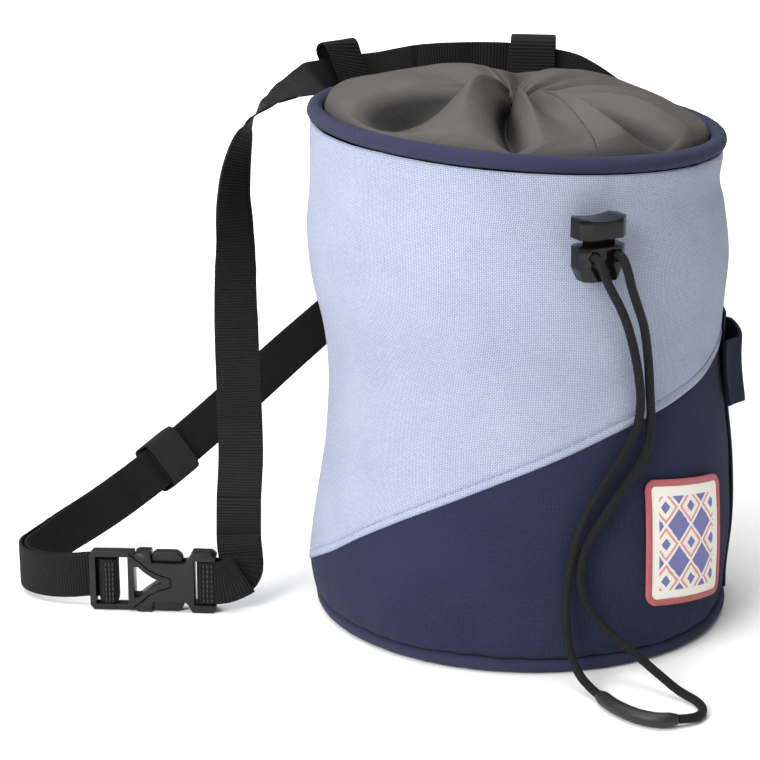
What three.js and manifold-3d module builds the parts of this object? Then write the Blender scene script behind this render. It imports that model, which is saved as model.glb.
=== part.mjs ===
// A climbing chalk bag: a fabric drum with a gathered collar, a cord lock and a waist belt.
// Millimetres, +Z up. The front faces -Y, and the middle of the base is the origin.

import * as THREE from 'three';
import { mergeVertices } from 'three/addons/utils/BufferGeometryUtils.js';
import Module from 'manifold-3d';

const wasm = await Module();
wasm.setup();

// Bag body
const rimRadius = 67.5;        // outside of the rim piping
const bagHeight = 165.4;       // top of the rim piping
const wallThick = 1.8;
const rimPiping = 5.2;         // diameter
const basePiping = 4.7;        // diameter
const baseThick = 2;
const rimTilt = 3.8;           // degrees that the rim dips
const dipTurn = 66;            // the turn at which the rim is lowest
const leanTurn = -114;         // the turn towards which the drum leans
const leftSeamTurn = -124;
const rightSeamTurn = 64;
const gap = 0.3;               // between pieces that touch
const sewnGap = 0.45;          // under what is sewn flat on the wall

// Collar
const collarThick = 1;
const pinchHole = 3.2;         // radius left open where the collar is drawn shut
const pinchAcross = -2;        // where it is drawn shut, from the middle of the rim
const pinchBack = -2.5;

// Patch, side strip and brush loop
const patchWide = 37;
const patchTall = 41.5;
const patchThick = 1;
const patchCorner = 4;
const patchInnerCorner = 0.5;
const patchBorder = 2.2;
const patchTurn = 25.2;
const patchMiddle = 37.6;      // height of its middle
const patchDrop = 9.7;         // degrees that its top edge falls to the right
const patchSway = 1.7;         // degrees that its sides lean
const stripWide = 30;
const stripFoot = 5.5;
const stripHead = 102;
const stripThick = 0.9;
const stripTurn = 75;
const brushLoopWide = 22.5;     // measured up the wall
const brushLoopMiddle = 84;
const brushLoopSpan = 31;      // degrees
const brushLoopTurn = 70.5;
const brushLoopBulge = 4.2;

// Belt and its loops
const beltWide = 15;
const beltThick = 1.3;
const layerPitch = 1.9;        // between the two layers of the doubled belt
const loopWide = 15.5;
const loopTurns = { left: -153.8, right: 151.8 };
const loopLeans = { left: 28, right: 0 };   // degrees that a loop hangs outward
const loopReach = 3.9;         // from the rim piping to the middle of the belt
const loopHead = bagHeight + 15;
const loopHinge = bagHeight - 8.4;          // where a loop starts to lean
const loopFoot = bagHeight - 27.4;
const keeperLong = 12;
const keeperThick = 1.2;
const keeperSlack = 0.6;
const laidTurn = 24;           // the belt and cords are laid out in a frame turned this far

// Buckle
const buckleLong = 42.4;
const buckleTall = 20.6;
const buckleThick = 6.4;
const frameThick = 4;
const barThick = 2.4;
const prongThick = 2;
const buckleAcross = -2.148;   // its left end, in rim radii
const buckleBack = -0.326;

// Cord lock and cords
const lockWide = 16.4;
const lockTall = 19.2;
const lockThick = 9.4;
const lockTurn = -4.5;
const lockYaw = 12;            // degrees that it is turned past the wall
const lockUp = 139.5;
const lockCap = 6.2;           // height of its button
const lockTravel = 2.2;
const lockSlack = 0.3;         // the gap left between button and body when pressed
const stemWide = 9;
const stemThick = 3.8;
const stemLong = 7.4;
const cordThick = 2.8;
const cordHoleSpacing = 8;
const cordHoleSlack = 0.5;
const cordHoleDrop = 2.7;      // below the top of the lock's body
const sleeveThick = 4.6;

// Colours
const colours = {
  light: 0xb3bcd9, navy: 0x3a4060, piping: 0x41456a, collar: 0x6a6564, webbing: 0x1b1b1d,
  plastic: 0x26262a, cord: 0x121214, stripBlack: 0x16171f, border: 0xb4555a, field: 0xf0eee0,
};

// The wall from the floor to the rim. up is a share of the bag's height, wide and lean of its radius.
const wallProfile = [
  { up: 0.00, wide: 1.027, lean: 0.018 },
  { up: 0.09, wide: 1.047, lean: 0.031 },
  { up: 0.15, wide: 1.041, lean: 0.025 },
  { up: 0.24, wide: 1.018, lean: 0.010 },
  { up: 0.33, wide: 0.993, lean: 0.000 },
  { up: 0.42, wide: 0.976, lean: 0.010 },
  { up: 0.51, wide: 0.967, lean: 0.028 },
  { up: 0.58, wide: 0.976, lean: 0.041 },
  { up: 0.67, wide: 1.006, lean: 0.059 },
  { up: 0.76, wide: 1.018, lean: 0.062 },
  { up: 0.85, wide: 0.996, lean: 0.068 },
  { up: 0.90, wide: 0.982, lean: 0.081 },
  { up: 0.96, wide: 0.990, lean: 0.077 },
  { up: 1.00, wide: 1.000, lean: 0.077 },
];

// Dents in the fabric: where, how far they spread (degrees, share of the height) and how deep.
const wallDents = [
  { turn: -34, up: 0.07, spread: 7, tall: 0.06, deep: 0.022 },
  { turn: -52, up: 0.05, spread: 9, tall: 0.05, deep: -0.006 },
  { turn: 66, up: 0.07, spread: 22, tall: 0.09, deep: 0.026 },
  { turn: -95, up: 0.50, spread: 24, tall: 0.12, deep: 0.012 },
  { turn: -60, up: 0.93, spread: 12, tall: 0.05, deep: 0.008 },
  { turn: 20, up: 0.90, spread: 16, tall: 0.06, deep: 0.010 },
  { turn: 50, up: 0.55, spread: 14, tall: 0.10, deep: 0.010 },
];

// The slanting seam between the two front panels: turn in degrees, up as a share of the height.
const seamLine = [
  { turn: -124, up: 0.052 },
  { turn: -109, up: 0.078 },
  { turn: -86, up: 0.155 },
  { turn: -72, up: 0.218 },
  { turn: -57, up: 0.281 },
  { turn: -44, up: 0.330 },
  { turn: -32, up: 0.371 },
  { turn: -12, up: 0.431 },
  { turn: 6, up: 0.478 },
  { turn: 30, up: 0.522 },
  { turn: 43, up: 0.541 },
  { turn: 64, up: 0.580 },
];

// The collar from its hem to the pinch: inward is a share of the way to the pinch,
// rise a share of the rim radius above the top of the piping.
const collarProfile = [
  { inward: 0.000, rise: -0.096 },
  { inward: 0.004, rise: -0.020 },
  { inward: 0.050, rise: 0.040 },
  { inward: 0.180, rise: 0.082 },
  { inward: 0.340, rise: 0.112 },
  { inward: 0.520, rise: 0.128 },
  { inward: 0.700, rise: 0.128 },
  { inward: 0.860, rise: 0.105 },
  { inward: 1.000, rise: 0.060 },
];

// The collar's folds. Each runs from rimTurn at the hem to pinchTurn at the pinch, is spread degrees
// wide, stands rise of the rim radius high and is highest at the share inward of the way in.
const collarFolds = [
  { rimTurn: -128, pinchTurn: -92, spread: 13, rise: 0.065, inward: 0.60, length: 0.42 },
  { rimTurn: -36, pinchTurn: -60, spread: 15, rise: 0.075, inward: 0.62, length: 0.50 },
  { rimTurn: -172, pinchTurn: -132, spread: 24, rise: 0.090, inward: 0.66, length: 0.36 },
  { rimTurn: -17, pinchTurn: -8, spread: 6, rise: 0.050, inward: 0.66, length: 0.42 },
  { rimTurn: 13, pinchTurn: 4, spread: 9, rise: 0.060, inward: 0.50, length: 0.44 },
  { rimTurn: 58, pinchTurn: 78, spread: 20, rise: 0.065, inward: 0.42, length: 0.44 },
  { rimTurn: 128, pinchTurn: 118, spread: 22, rise: 0.050, inward: 0.50, length: 0.46 },
  { rimTurn: -70, pinchTurn: -112, spread: 10, rise: 0.022, inward: 0.14, length: 0.20 },
  { rimTurn: -86, pinchTurn: -76, spread: 17, rise: -0.115, inward: 0.52, length: 0.36 },
  { rimTurn: -24, pinchTurn: -18, spread: 4, rise: -0.045, inward: 0.72, length: 0.40 },
  { rimTurn: 27, pinchTurn: 44, spread: 8, rise: -0.075, inward: 0.56, length: 0.48 },
  { rimTurn: -146, pinchTurn: -112, spread: 7, rise: -0.045, inward: 0.62, length: 0.34 },
  { rimTurn: 94, pinchTurn: 100, spread: 8, rise: -0.045, inward: 0.56, length: 0.42 },
  { rimTurn: 164, pinchTurn: 160, spread: 8, rise: -0.040, inward: 0.60, length: 0.42 },
];

// The belt's sewn end. past the buckle's end, up from its middle line and front of its middle plane
// are shares of the belt's width, and edge is the way to the belt's lower edge.
const beltFlap = [
  { past: 0.780, up: 0.325, front: 0.020, edge: [0.26, 0, -0.97] },
  { past: 0.600, up: 0.200, front: 0.028, edge: [0.24, 0, -0.97] },
  { past: 0.410, up: 0.090, front: 0.055, edge: [0.19, 0, -0.98] },
  { past: 0.210, up: 0.020, front: 0.100, edge: [0.08, 0, -1] },
];
// Behind the flap the belt turns up on edge, and its lower edge becomes the outer one.
const beltCorner = [
  { past: 0.200, up: 0.005, front: -0.130, edge: [0.08, 0, -1] },
  { past: 0.380, up: 0.045, front: -0.135, edge: [0.23, 0, -0.97] },
  { past: 0.500, up: 0.140, front: -0.162, edge: [0.45, 0, -0.89] },
  { past: 0.545, up: 0.270, front: -0.210, edge: [0.62, 0, -0.78] },
  { past: 0.525, up: 0.480, front: -0.280, edge: [0.78, 0, -0.62] },
  { past: 0.480, up: 0.800, front: -0.360, edge: [0.93, 0, -0.37] },
];

// The belt from there round the bag to the doubled stretch. across and back are rim radii in the
// laid frame, up is a share of the height from the belt lying on edge.
const beltRise = [
  { across: -1.415, back: -0.228, up: 0.133, edge: [0.99, 0, -0.14] },
  { across: -1.415, back: -0.203, up: 0.182, edge: [1, 0, -0.03] },
  { across: -1.411, back: -0.133, up: 0.260, edge: [1, 0.1, 0] },
  { across: -1.440, back: 0.030, up: 0.466, edge: [0.95, 0.3, 0] },
  { across: -1.452, back: 0.105, up: 0.577, edge: [0.89, 0.45, -0.03] },
];
// The long half-turn at the belt's upper left, where its other face comes to the front.
const beltTwist = [
  { across: -1.453, back: 0.150, up: 0.667, edge: [0.80, 0.59, -0.07] },
  { across: -1.461, back: 0.175, up: 0.748, edge: [0.66, 0.74, -0.11] },
  { across: -1.456, back: 0.200, up: 0.797, edge: [0.56, 0.80, -0.23] },
  { across: -1.440, back: 0.225, up: 0.840, edge: [0.42, 0.86, -0.29] },
  { across: -1.416, back: 0.248, up: 0.879, edge: [0.24, 0.92, -0.32] },
  { across: -1.381, back: 0.270, up: 0.911, edge: [-0.05, 0.96, -0.27] },
  { across: -1.335, back: 0.290, up: 0.934, edge: [-0.24, 0.96, -0.15] },
  { across: -1.280, back: 0.312, up: 0.953, edge: [-0.38, 0.93, -0.03] },
  { across: -1.194, back: 0.350, up: 0.972, edge: [-0.52, 0.84, 0.18] },
  { across: -1.095, back: 0.410, up: 0.984, edge: [-0.60, 0.63, 0.49] },
];
// Through the loops at the rim: lean is in degrees, outward from the rim.
const beltOnRim = [
  { turn: -145, up: 1.009, lean: 30 },
  { turn: -153.8, up: 1.009, lean: 28 },
  { turn: -166, up: 1.010, lean: 26 },
  { turn: -176, up: 1.015, lean: 13 },
  { turn: -188, up: 1.019, lean: 3 },
  { turn: -202, up: 1.023, lean: 0 },
  { turn: -210.5, up: 1.019, lean: 0 },
];
const beltBehind = [
  { across: 0.200, back: 1.045, up: 0.958, edge: [0, 0, 1] },
  { across: 0.375, back: 1.030, up: 0.915, edge: [0, 0, 1] },
  { across: 0.500, back: 1.100, up: 0.868, edge: [0, 0, 1] },
  { across: 0.560, back: 1.250, up: 0.815, edge: [0, 0, 1] },
  { across: 0.520, back: 1.410, up: 0.760, edge: [0, 0, 1] },
  { across: 0.370, back: 1.550, up: 0.705, edge: [0, 0, 1] },
  { across: 0.140, back: 1.630, up: 0.655, edge: [0, 0, 1] },
  { across: -0.160, back: 1.645, up: 0.605, edge: [0, 0, 1] },
  { across: -0.480, back: 1.575, up: 0.550, edge: [-0.1, 0, 1] },
  { across: -0.780, back: 1.440, up: 0.487, edge: [-0.2, 0, 1] },
  { across: -1.173, back: 1.170, up: 0.371, edge: [-0.4, 0, 1] },
  { across: -1.360, back: 1.037, up: 0.311, edge: [-0.6, 0, 1] },
  { across: -1.656, back: 0.830, up: 0.213, edge: [-0.7, 0, 1] },
];
const beltDoubled = [
  { across: -1.845, back: 0.663, up: 0.156, edge: [-0.75, 0, 1] },
  { across: -1.893, back: 0.625, up: 0.143, edge: [-0.73, 0, 1] },
  { across: -1.987, back: 0.550, up: 0.116, edge: [-0.7, 0, 1] },
  { across: -2.213, back: 0.385, up: 0.060, edge: [-0.5, 0, 1] },
  { across: -2.397, back: 0.207, up: 0.027, edge: [-0.2, 0, 1] },
  { across: -2.489, back: 0.070, up: 0.016, edge: [0, 0, 1] },
  { across: -2.535, back: -0.045, up: 0.012, edge: [0, 0, 1] },
  { across: -2.505, back: -0.150, up: 0.010, edge: [0, 0, 1] },
  { across: -2.420, back: -0.224, up: 0.010, edge: [0, 0, 1] },
  { across: -2.315, back: -0.262, up: 0.012, edge: [0, 0, 1] },
  { across: -2.222, back: -0.270, up: 0.015, edge: [0, 0, 1] },
];
const keeperRow = 1;           // the keeper sits at this row of the doubled stretch

// Where the cords run, in the laid frame: [across, back, up].
const rightCordPoints = [
  [25.3, -70.4, 136.6], [27.2, -73.6, 136.1], [28.7, -75.4, 132.6], [30.0, -73.8, 127.5],
  [31.9, -69.8, 121.5], [34.6, -64.6, 112.5], [36.3, -60.3, 101.9], [37.4, -57.6, 90.2],
  [38.0, -56.6, 80.3], [37.0, -57.7, 72.1], [33.4, -60.5, 65.2], [28.3, -63.8, 58.4],
  [22.9, -66.8, 50.6], [18.6, -69.0, 43.0], [17.1, -70.3, 36.0], [17.8, -71.6, 29.3],
  [21.0, -73.0, 22.6], [26.9, -74.6, 17.0], [34.3, -77.2, 11.6], [41.3, -80.4, 6.6],
  [48.0, -84.6, 2.6], [52.6, -89.0, 1.6], [54.4, -94.2, 1.5], [53.4, -99.3, 1.6],
  [50.4, -102.6, 2.0], [46.6, -104.2, 2.3],
];
const leftCordPoints = [
  [18.4, -74.6, 136.6], [20.1, -77.4, 136.1], [21.6, -78.6, 132.6], [23.8, -75.6, 127.2],
  [26.9, -71.2, 120.6], [29.6, -67.2, 113.4], [32.1, -63.4, 104.0], [33.8, -60.6, 95.0],
  [34.6, -59.0, 87.0], [33.8, -59.2, 79.6], [30.2, -61.6, 72.0], [23.9, -65.2, 62.8],
  [18.0, -68.2, 52.3], [14.8, -70.2, 41.7], [13.2, -71.8, 30.7], [13.2, -74.0, 19.8],
  [14.6, -77.0, 11.0], [17.6, -80.4, 5.2], [21.0, -84.6, 2.8], [23.2, -88.4, 2.4],
];
const sleevePoints = [
  [23.4, -88.7, 2.4], [28.4, -97.0, 2.35], [35.0, -103.2, 2.35], [41.0, -105.3, 2.35],
  [46.3, -104.3, 2.35],
];

const radians = (degrees) => degrees * Math.PI / 180;
const vec = (x, y, z) => new THREE.Vector3(x, y, z);

// A smooth value from a table: the column `of` at the place `at` along the column `along`.
function blend(table, along, of, at) {
  const last = table.length - 1;
  let i = 0;
  while (i < last - 1 && at > table[i + 1][along]) i += 1;
  const [a, b, c, d] = [i - 1, i, i + 1, i + 2].map((k) => table[Math.min(Math.max(k, 0), last)]);
  const span = c[along] - b[along];
  const t = Math.min(Math.max((at - b[along]) / span, 0), 1);
  const slopeIn = (c[of] - a[of]) / (c[along] - a[along]) * span;
  const slopeOut = (d[of] - b[of]) / (d[along] - b[along]) * span;
  const [t2, t3] = [t * t, t * t * t];
  return (2 * t3 - 3 * t2 + 1) * b[of] + (t3 - 2 * t2 + t) * slopeIn
    + (3 * t2 - 2 * t3) * c[of] + (t3 - t2) * slopeOut;
}

const bell = (x) => Math.exp(-x * x);
const turnBetween = (a, b) => ((a - b + 540) % 360 + 360) % 360 - 180;
const seamUp = (turn) => bagHeight * blend(seamLine, 'turn', 'up', turn);

// The middle of the drum at a height, which leans a little.
function drumMiddle(z) {
  const lean = rimRadius * blend(wallProfile, 'up', 'lean', z / bagHeight);
  return vec(lean * Math.sin(radians(leanTurn)), -lean * Math.cos(radians(leanTurn)), 0);
}

// The point at a turn, a radius and a height, on the leaning drum with its dipping rim.
function drumPoint(turn, radius, z) {
  const share = z / bagHeight;
  const dip = Math.tan(radians(rimTilt)) * radius * Math.cos(radians(turn - dipTurn)) * share * share;
  const around = vec(radius * Math.sin(radians(turn)), -radius * Math.cos(radians(turn)), z - dip);
  return around.add(drumMiddle(z));
}

// The point on the outside of the wall, moved out by a distance.
function wallPoint(turn, z, out = 0) {
  let radius = rimRadius * blend(wallProfile, 'up', 'wide', z / bagHeight);
  for (const dent of wallDents) {
    const side = turnBetween(turn, dent.turn) / dent.spread;
    const high = (z / bagHeight - dent.up) / dent.tall;
    radius -= rimRadius * dent.deep * bell(side) * bell(high);
  }
  return drumPoint(turn, radius + out, z);
}

// From the laid frame of the belt and cords to the bag's own.
function fromLaid(across, back, up) {
  const [c, s] = [Math.cos(radians(laidTurn)), Math.sin(radians(laidTurn))];
  return vec(across * c + back * s, back * c - across * s, up);
}

// A closed body between two grids of points. Columns run along the first direction and rows
// along the second, and the front grid faces column direction x row direction.
function slab(rows, columns, front, back, around = false) {
  const points = [];
  for (const at of [front, back]) {
    for (let i = 0; i <= rows; i += 1) {
      for (let j = 0; j <= columns - (around ? 1 : 0); j += 1) points.push(at(i, j));
    }
  }
  const width = around ? columns : columns + 1;
  const id = (side, i, j) => side * (rows + 1) * width + i * width + (around ? j % columns : j);
  const index = [];
  const quad = (a, b, c, d) => index.push(a, b, c, a, c, d);
  for (let j = 0; j < columns; j += 1) {
    for (let i = 0; i < rows; i += 1) {
      quad(id(0, i, j), id(0, i, j + 1), id(0, i + 1, j + 1), id(0, i + 1, j));
      quad(id(1, i, j), id(1, i + 1, j), id(1, i + 1, j + 1), id(1, i, j + 1));
    }
    quad(id(0, 0, j), id(1, 0, j), id(1, 0, j + 1), id(0, 0, j + 1));
    quad(id(0, rows, j), id(0, rows, j + 1), id(1, rows, j + 1), id(1, rows, j));
  }
  if (!around) {
    for (let i = 0; i < rows; i += 1) {
      quad(id(0, i, 0), id(0, i + 1, 0), id(1, i + 1, 0), id(1, i, 0));
      quad(id(0, i, columns), id(1, i, columns), id(1, i + 1, columns), id(0, i + 1, columns));
    }
  }
  return fromPoints(points, index);
}

function fromPoints(points, index) {
  const geometry = new THREE.BufferGeometry();
  geometry.setAttribute('position', new THREE.Float32BufferAttribute(points.flatMap((p) => [...p]), 3));
  geometry.setIndex(index);
  geometry.computeVertexNormals();
  return geometry;
}

// A sheet that follows the outside of the wall between two turns and two heights.
function wallSheet({ from, to, columns, rows, foot, head, out = 0, thick = wallThick }) {
  const place = (i, j, offset) => {
    const turn = from + (to - from) * j / columns;
    const z = foot(turn) + (head(turn) - foot(turn)) * i / rows;
    return wallPoint(turn, z, offset(j / columns));
  };
  const lift = typeof out === 'function' ? out : () => out;
  return slab(rows, columns, (i, j) => place(i, j, lift), (i, j) => place(i, j, (s) => lift(s) - thick));
}

// A ring of tube round the drum.
function pipingRing(radius, z, thick, columns = 48, sides = 8) {
  const points = [];
  const index = [];
  for (let j = 0; j < columns; j += 1) {
    for (let i = 0; i < sides; i += 1) {
      const angle = 2 * Math.PI * i / sides;
      const turn = 360 * j / columns;
      const centre = drumPoint(turn, radius, z);
      points.push(centre.addScaledVector(outwardAt(turn), thick / 2 * Math.cos(angle))
        .add(vec(0, 0, thick / 2 * Math.sin(angle))));
      const [a, b] = [j * sides + i, ((j + 1) % columns) * sides + i];
      const [c, d] = [((j + 1) % columns) * sides + (i + 1) % sides, j * sides + (i + 1) % sides];
      index.push(a, b, c, a, c, d);
    }
  }
  return fromPoints(points, index);
}

// Ribbons. A station holds its middle and the direction of its upper edge.
const station = (at, edge) => ({ at, edge });

function smoothStations(stations, steps) {
  const middle = new THREE.CatmullRomCurve3(stations.map((s) => s.at), false, 'centripetal');
  const edges = new THREE.CatmullRomCurve3(stations.map((s) => s.edge), false, 'catmullrom');
  const count = (stations.length - 1) * steps;
  return Array.from({ length: count + 1 }, (_, k) => {
    const t = k / count;
    const along = middle.getTangent(t);
    const edge = edges.getPoint(t);
    edge.addScaledVector(along, -edge.dot(along)).normalize();
    return { at: middle.getPoint(t), edge, along, face: along.clone().cross(edge) };
  });
}

function ribbon(stations, steps, wide = beltWide, thick = beltThick) {
  const path = smoothStations(stations, steps);
  const corner = (i, j, side) => path[j].at.clone()
    .addScaledVector(path[j].edge, wide * (i - 0.5))
    .addScaledVector(path[j].face, side * thick / 2);
  return slab(1, path.length - 1, (i, j) => corner(i, j, 1), (i, j) => corner(i, j, -1));
}

const freeStation = (row) => station(
  fromLaid(row.across * rimRadius, row.back * rimRadius, beltWide / 2 + row.up * bagHeight),
  fromLaid(...row.edge).normalize(),
);

// A point by the rim, out from it at a height, swung outward about the hinge by the lean.
function leanPoint(turn, out, z, lean) {
  const [c, s] = [Math.cos(radians(lean)), Math.sin(radians(lean))];
  const above = Math.max(z - loopHinge, 0);
  return drumPoint(turn, rimRadius + out + above * s - out * (above ? 1 - c : 0),
    z - above * (1 - c) - (above ? out * s * Math.min(above / beltWide, 1) : 0));
}

const outwardAt = (turn) => vec(Math.sin(radians(turn)), -Math.cos(radians(turn)), 0);

const rimStation = ({ turn, up, lean }) => station(
  leanPoint(turn, loopReach, up * bagHeight, lean),
  outwardAt(turn).multiplyScalar(Math.sin(radians(lean))).add(vec(0, 0, Math.cos(radians(lean)))),
);

// The buckle's own frame: u along it, v up, n towards its front.
const buckleMiddle = buckleTall / 2;
const buckleAt = (u, n) => fromLaid(buckleAcross * rimRadius + u, buckleBack * rimRadius - n, buckleMiddle);
const upright = vec(0, 0, 1);
const barClear = gap + beltThick / 2;
const barOut = barThick / 2 + barClear;

// Where the bars stand along the buckle.
const leftBar = { from: 0, to: 2 };
const middleBar = { from: 5, to: 7.8 };
const rightBar = { from: 13.1, to: 15.1 };
const socketBar = { from: 37.6, to: buckleLong - 1.8 };
const socketSlot = { from: 35.2, to: 37.6 };

function doubledStations() {
  const rows = beltDoubled.map(freeStation);
  const path = smoothStations(rows, 1);
  const shifted = (side) => path.map((s) => station(
    s.at.clone().addScaledVector(s.face, side * layerPitch / 2), s.edge));
  return { outer: shifted(1), inner: shifted(-1).reverse(), middle: path };
}

// Over the frame half's middle bar: out from behind the left bar, round it and back.
function overMiddleBar() {
  const inner = buckleBehind();
  const outer = inner + layerPitch;
  const left = (leftBar.to + middleBar.from) / 2;
  const right = middleBar.to + barClear;
  const middle = (middleBar.from + middleBar.to) / 2;
  const points = [
    [leftBar.from - 1.5, outer], [leftBar.to, outer], [leftBar.to + 0.8, outer + 0.35],
    [left - 0.35, outer + 1.1], [left, outer + 2.2], [left + 0.2, 0.4],
    [middleBar.from - 0.75, barOut - 0.4], [middleBar.from + 0.2, barOut + 0.05],
    [middle, barOut + 0.15], [middleBar.to + 0.2, barOut], [right, barOut - 0.9], [right + 0.1, -0.1],
    [right, inner + 2.3], [right - 0.6, inner + 0.9], [right - 1.6, inner + 0.15], [middle - 0.8, inner],
    [leftBar.to - 0.6, inner], [leftBar.from - 1.5, inner],
  ];
  return points.map(([u, n]) => station(buckleAt(u, n), upright.clone()));
}

// How far behind the buckle's middle the inner layer lies.
function buckleBehind() {
  return -(frameThick / 2 + barClear + layerPitch);
}

const flapStation = ({ past, up, front, edge }) => station(
  buckleAt(buckleLong + past * beltWide, front * beltWide).add(vec(0, 0, up * beltWide)),
  fromLaid(...edge).normalize(),
);

// The sewn end: a flap in front, round the socket half's bar, and on behind it.
function roundSocketBar() {
  const left = socketBar.from - barClear;
  const points = [
    [left + 5, barOut - 0.1], [left + 2, barOut + 0.05], [left + 0.9, barOut], [left + 0.1, barOut - 0.75],
    [left - 0.05, 0], [left + 0.1, 0.75 - barOut], [left + 0.9, -barOut],
    [left + 2, -barOut - 0.05], [left + 5, -barOut],
  ];
  return points.map(([u, n]) => station(buckleAt(u, n), upright.clone().negate()));
}

function beltStations() {
  const doubled = doubledStations();
  return [
    ...beltFlap.map(flapStation), ...roundSocketBar(), ...beltCorner.map(flapStation),
    ...[...beltRise, ...beltTwist].map(freeStation), ...beltOnRim.map(rimStation),
    ...beltBehind.map(freeStation), ...doubled.outer, ...overMiddleBar(), ...doubled.inner,
  ];
}

function beltLoop(turn, lean) {
  const half = beltThick / 2;
  const inner = gap + half + 0.3;
  const outer = 2 * loopReach - inner;
  const bend = (outer - inner) / 2;
  const top = loopHead - half - bend;
  const rows = [
    [loopFoot, 0.9], [loopFoot + 9, 0.5], [loopFoot + 18, inner], [top - 8, inner], [top, inner],
    [top + 0.7 * bend, inner + 0.3 * bend], [top + bend, inner + bend],
    [top + 0.7 * bend, outer - 0.3 * bend], [top, outer], [top - 12, outer], [top - 20, outer - 0.3],
    [loopFoot + 14, outer - 1.9], [loopFoot + 8, 2.9], [loopFoot, 2.8],
  ];
  const sideways = vec(Math.cos(radians(turn)), Math.sin(radians(turn)), 0);
  const stations = rows.map(([z, out]) => station(leanPoint(turn, out, z, lean), sideways.clone()));
  return ribbon(stations, 2, loopWide, beltThick);
}

function beltKeeper() {
  const centre = doubledStations().middle[keeperRow];
  const half = (extra) => [beltWide / 2 + gap + extra,
    (layerPitch + beltThick) / 2 + keeperSlack + extra];
  const signs = [[1, 1], [-1, 1], [-1, -1], [1, -1]];
  const corner = (i, j, extra) => {
    const [wide, deep] = half(extra);
    const [w, n] = signs[j % signs.length];
    return centre.at.clone()
      .addScaledVector(centre.along, keeperLong * (i - 0.5))
      .addScaledVector(centre.edge, w * wide)
      .addScaledVector(centre.face, n * deep);
  };
  return slab(1, 4, (i, j) => corner(i, j, keeperThick), (i, j) => corner(i, j, 0), true);
}

function collar() {
  const rows = 10;
  const columns = 52;
  const hemRadius = rimRadius - rimPiping - gap;
  const rimMiddle = drumMiddle(bagHeight);
  const pinch = rimMiddle.clone().add(vec(pinchAcross, pinchBack, 0));
  const inwardAt = (i) => {
    const share = i / rows;
    return i < 2 ? collarProfile[i].inward : Math.pow(share - 1 / rows, 1.15) / Math.pow(1 - 1 / rows, 1.15);
  };
  const surface = (i, j, under) => {
    const inward = inwardAt(i);
    const turn = 360 * j / columns;
    let rise = blend(collarProfile, 'inward', 'rise', inward);
    for (const fold of collarFolds) {
      const middle = fold.rimTurn + (fold.pinchTurn - fold.rimTurn) * inward;
      const side = turnBetween(turn, middle) / fold.spread;
      rise += fold.rise * bell(side) * bell((inward - fold.inward) / fold.length) * (i < 2 ? 0 : 1)
        * Math.min(inward / 0.05, 1);
    }
    const radius = hemRadius + (pinchHole - hemRadius) * inward - (i < 2 ? under : 0);
    const z = bagHeight + rimRadius * rise - (i < 2 ? 0 : under);
    const place = drumPoint(turn, radius, z).sub(drumMiddle(z));
    return place.add(rimMiddle).addScaledVector(pinch.clone().sub(rimMiddle), inward);
  };
  return slab(rows, columns, (i, j) => surface(i, j, 0), (i, j) => surface(i, j, collarThick), true);
}

// A point of the patch, from its middle: a to the right, b up, out from the wall.
function patchPoint(a, b, out) {
  const z = patchMiddle + b - a * Math.tan(radians(patchDrop));
  const turn = patchTurn + (a - b * Math.tan(radians(patchSway))) / radians(rimRadius);
  return wallPoint(turn, z, out);
}

// The outline of a rounded rectangle, as [a, b] pairs going round anticlockwise.
function roundedOutline(wide, tall, corner, sides = 3) {
  const outline = [];
  for (let quarter = 0; quarter < 4; quarter += 1) {
    const [signA, signB] = [[1, -1], [1, 1], [-1, 1], [-1, -1]][quarter];
    for (let k = 0; k <= sides; k += 1) {
      const angle = Math.PI / 2 * (quarter - 1 + k / sides);
      outline.push([signA * (wide / 2 - corner) + corner * Math.cos(angle),
        signB * (tall / 2 - corner) + corner * Math.sin(angle)]);
    }
  }
  return outline;
}

// The patch's raised edge: a band between two rounded outlines.
function patchEdge() {
  const stops = 4;
  const outer = denser(roundedOutline(patchWide, patchTall, patchCorner), stops);
  const inner = denser(roundedOutline(patchWide - 2 * patchBorder, patchTall - 2 * patchBorder,
    patchInnerCorner), stops);
  const out = (side) => sewnGap + (side ? 0 : patchThick + 0.3);
  const at = (i, j, side) => {
    const [a, b] = (i ? inner : outer)[j % outer.length];
    return patchPoint(a, b, out(side));
  };
  return slab(1, outer.length, (i, j) => at(i, j, 0), (i, j) => at(i, j, 1), true);
}

// Puts points between the far corners of an outline, so that it can bend with the wall.
function denser(outline, stops) {
  return outline.flatMap(([a, b], k) => {
    const [c, d] = outline[(k + 1) % outline.length];
    const count = Math.hypot(c - a, d - b) > patchCorner * 2 ? stops : 1;
    return Array.from({ length: count }, (_, s) => [a + (c - a) * s / count, b + (d - b) * s / count]);
  });
}

function patchFace() {
  const columns = 8;
  const rows = 3;
  const wide = patchWide - 2 * patchBorder - 2 * gap;
  const tall = patchTall - 2 * patchBorder - 2 * gap;
  const at = (i, j, out) => patchPoint(wide * (j / columns - 0.5), tall * (i / rows - 0.5), out);
  return slab(rows, columns, (i, j) => at(i, j, sewnGap + patchThick), (i, j) => at(i, j, sewnGap));
}

// Solids for joining and cutting.
function toSolid(geometry) {
  const bare = geometry.clone();
  bare.deleteAttribute('normal');
  bare.deleteAttribute('uv');
  const merged = mergeVertices(bare, 1e-4);
  return new wasm.Manifold(new wasm.Mesh({
    numProp: 3,
    vertProperties: new Float32Array(merged.attributes.position.array),
    triVerts: new Uint32Array(merged.index.array),
  }));
}

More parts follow.
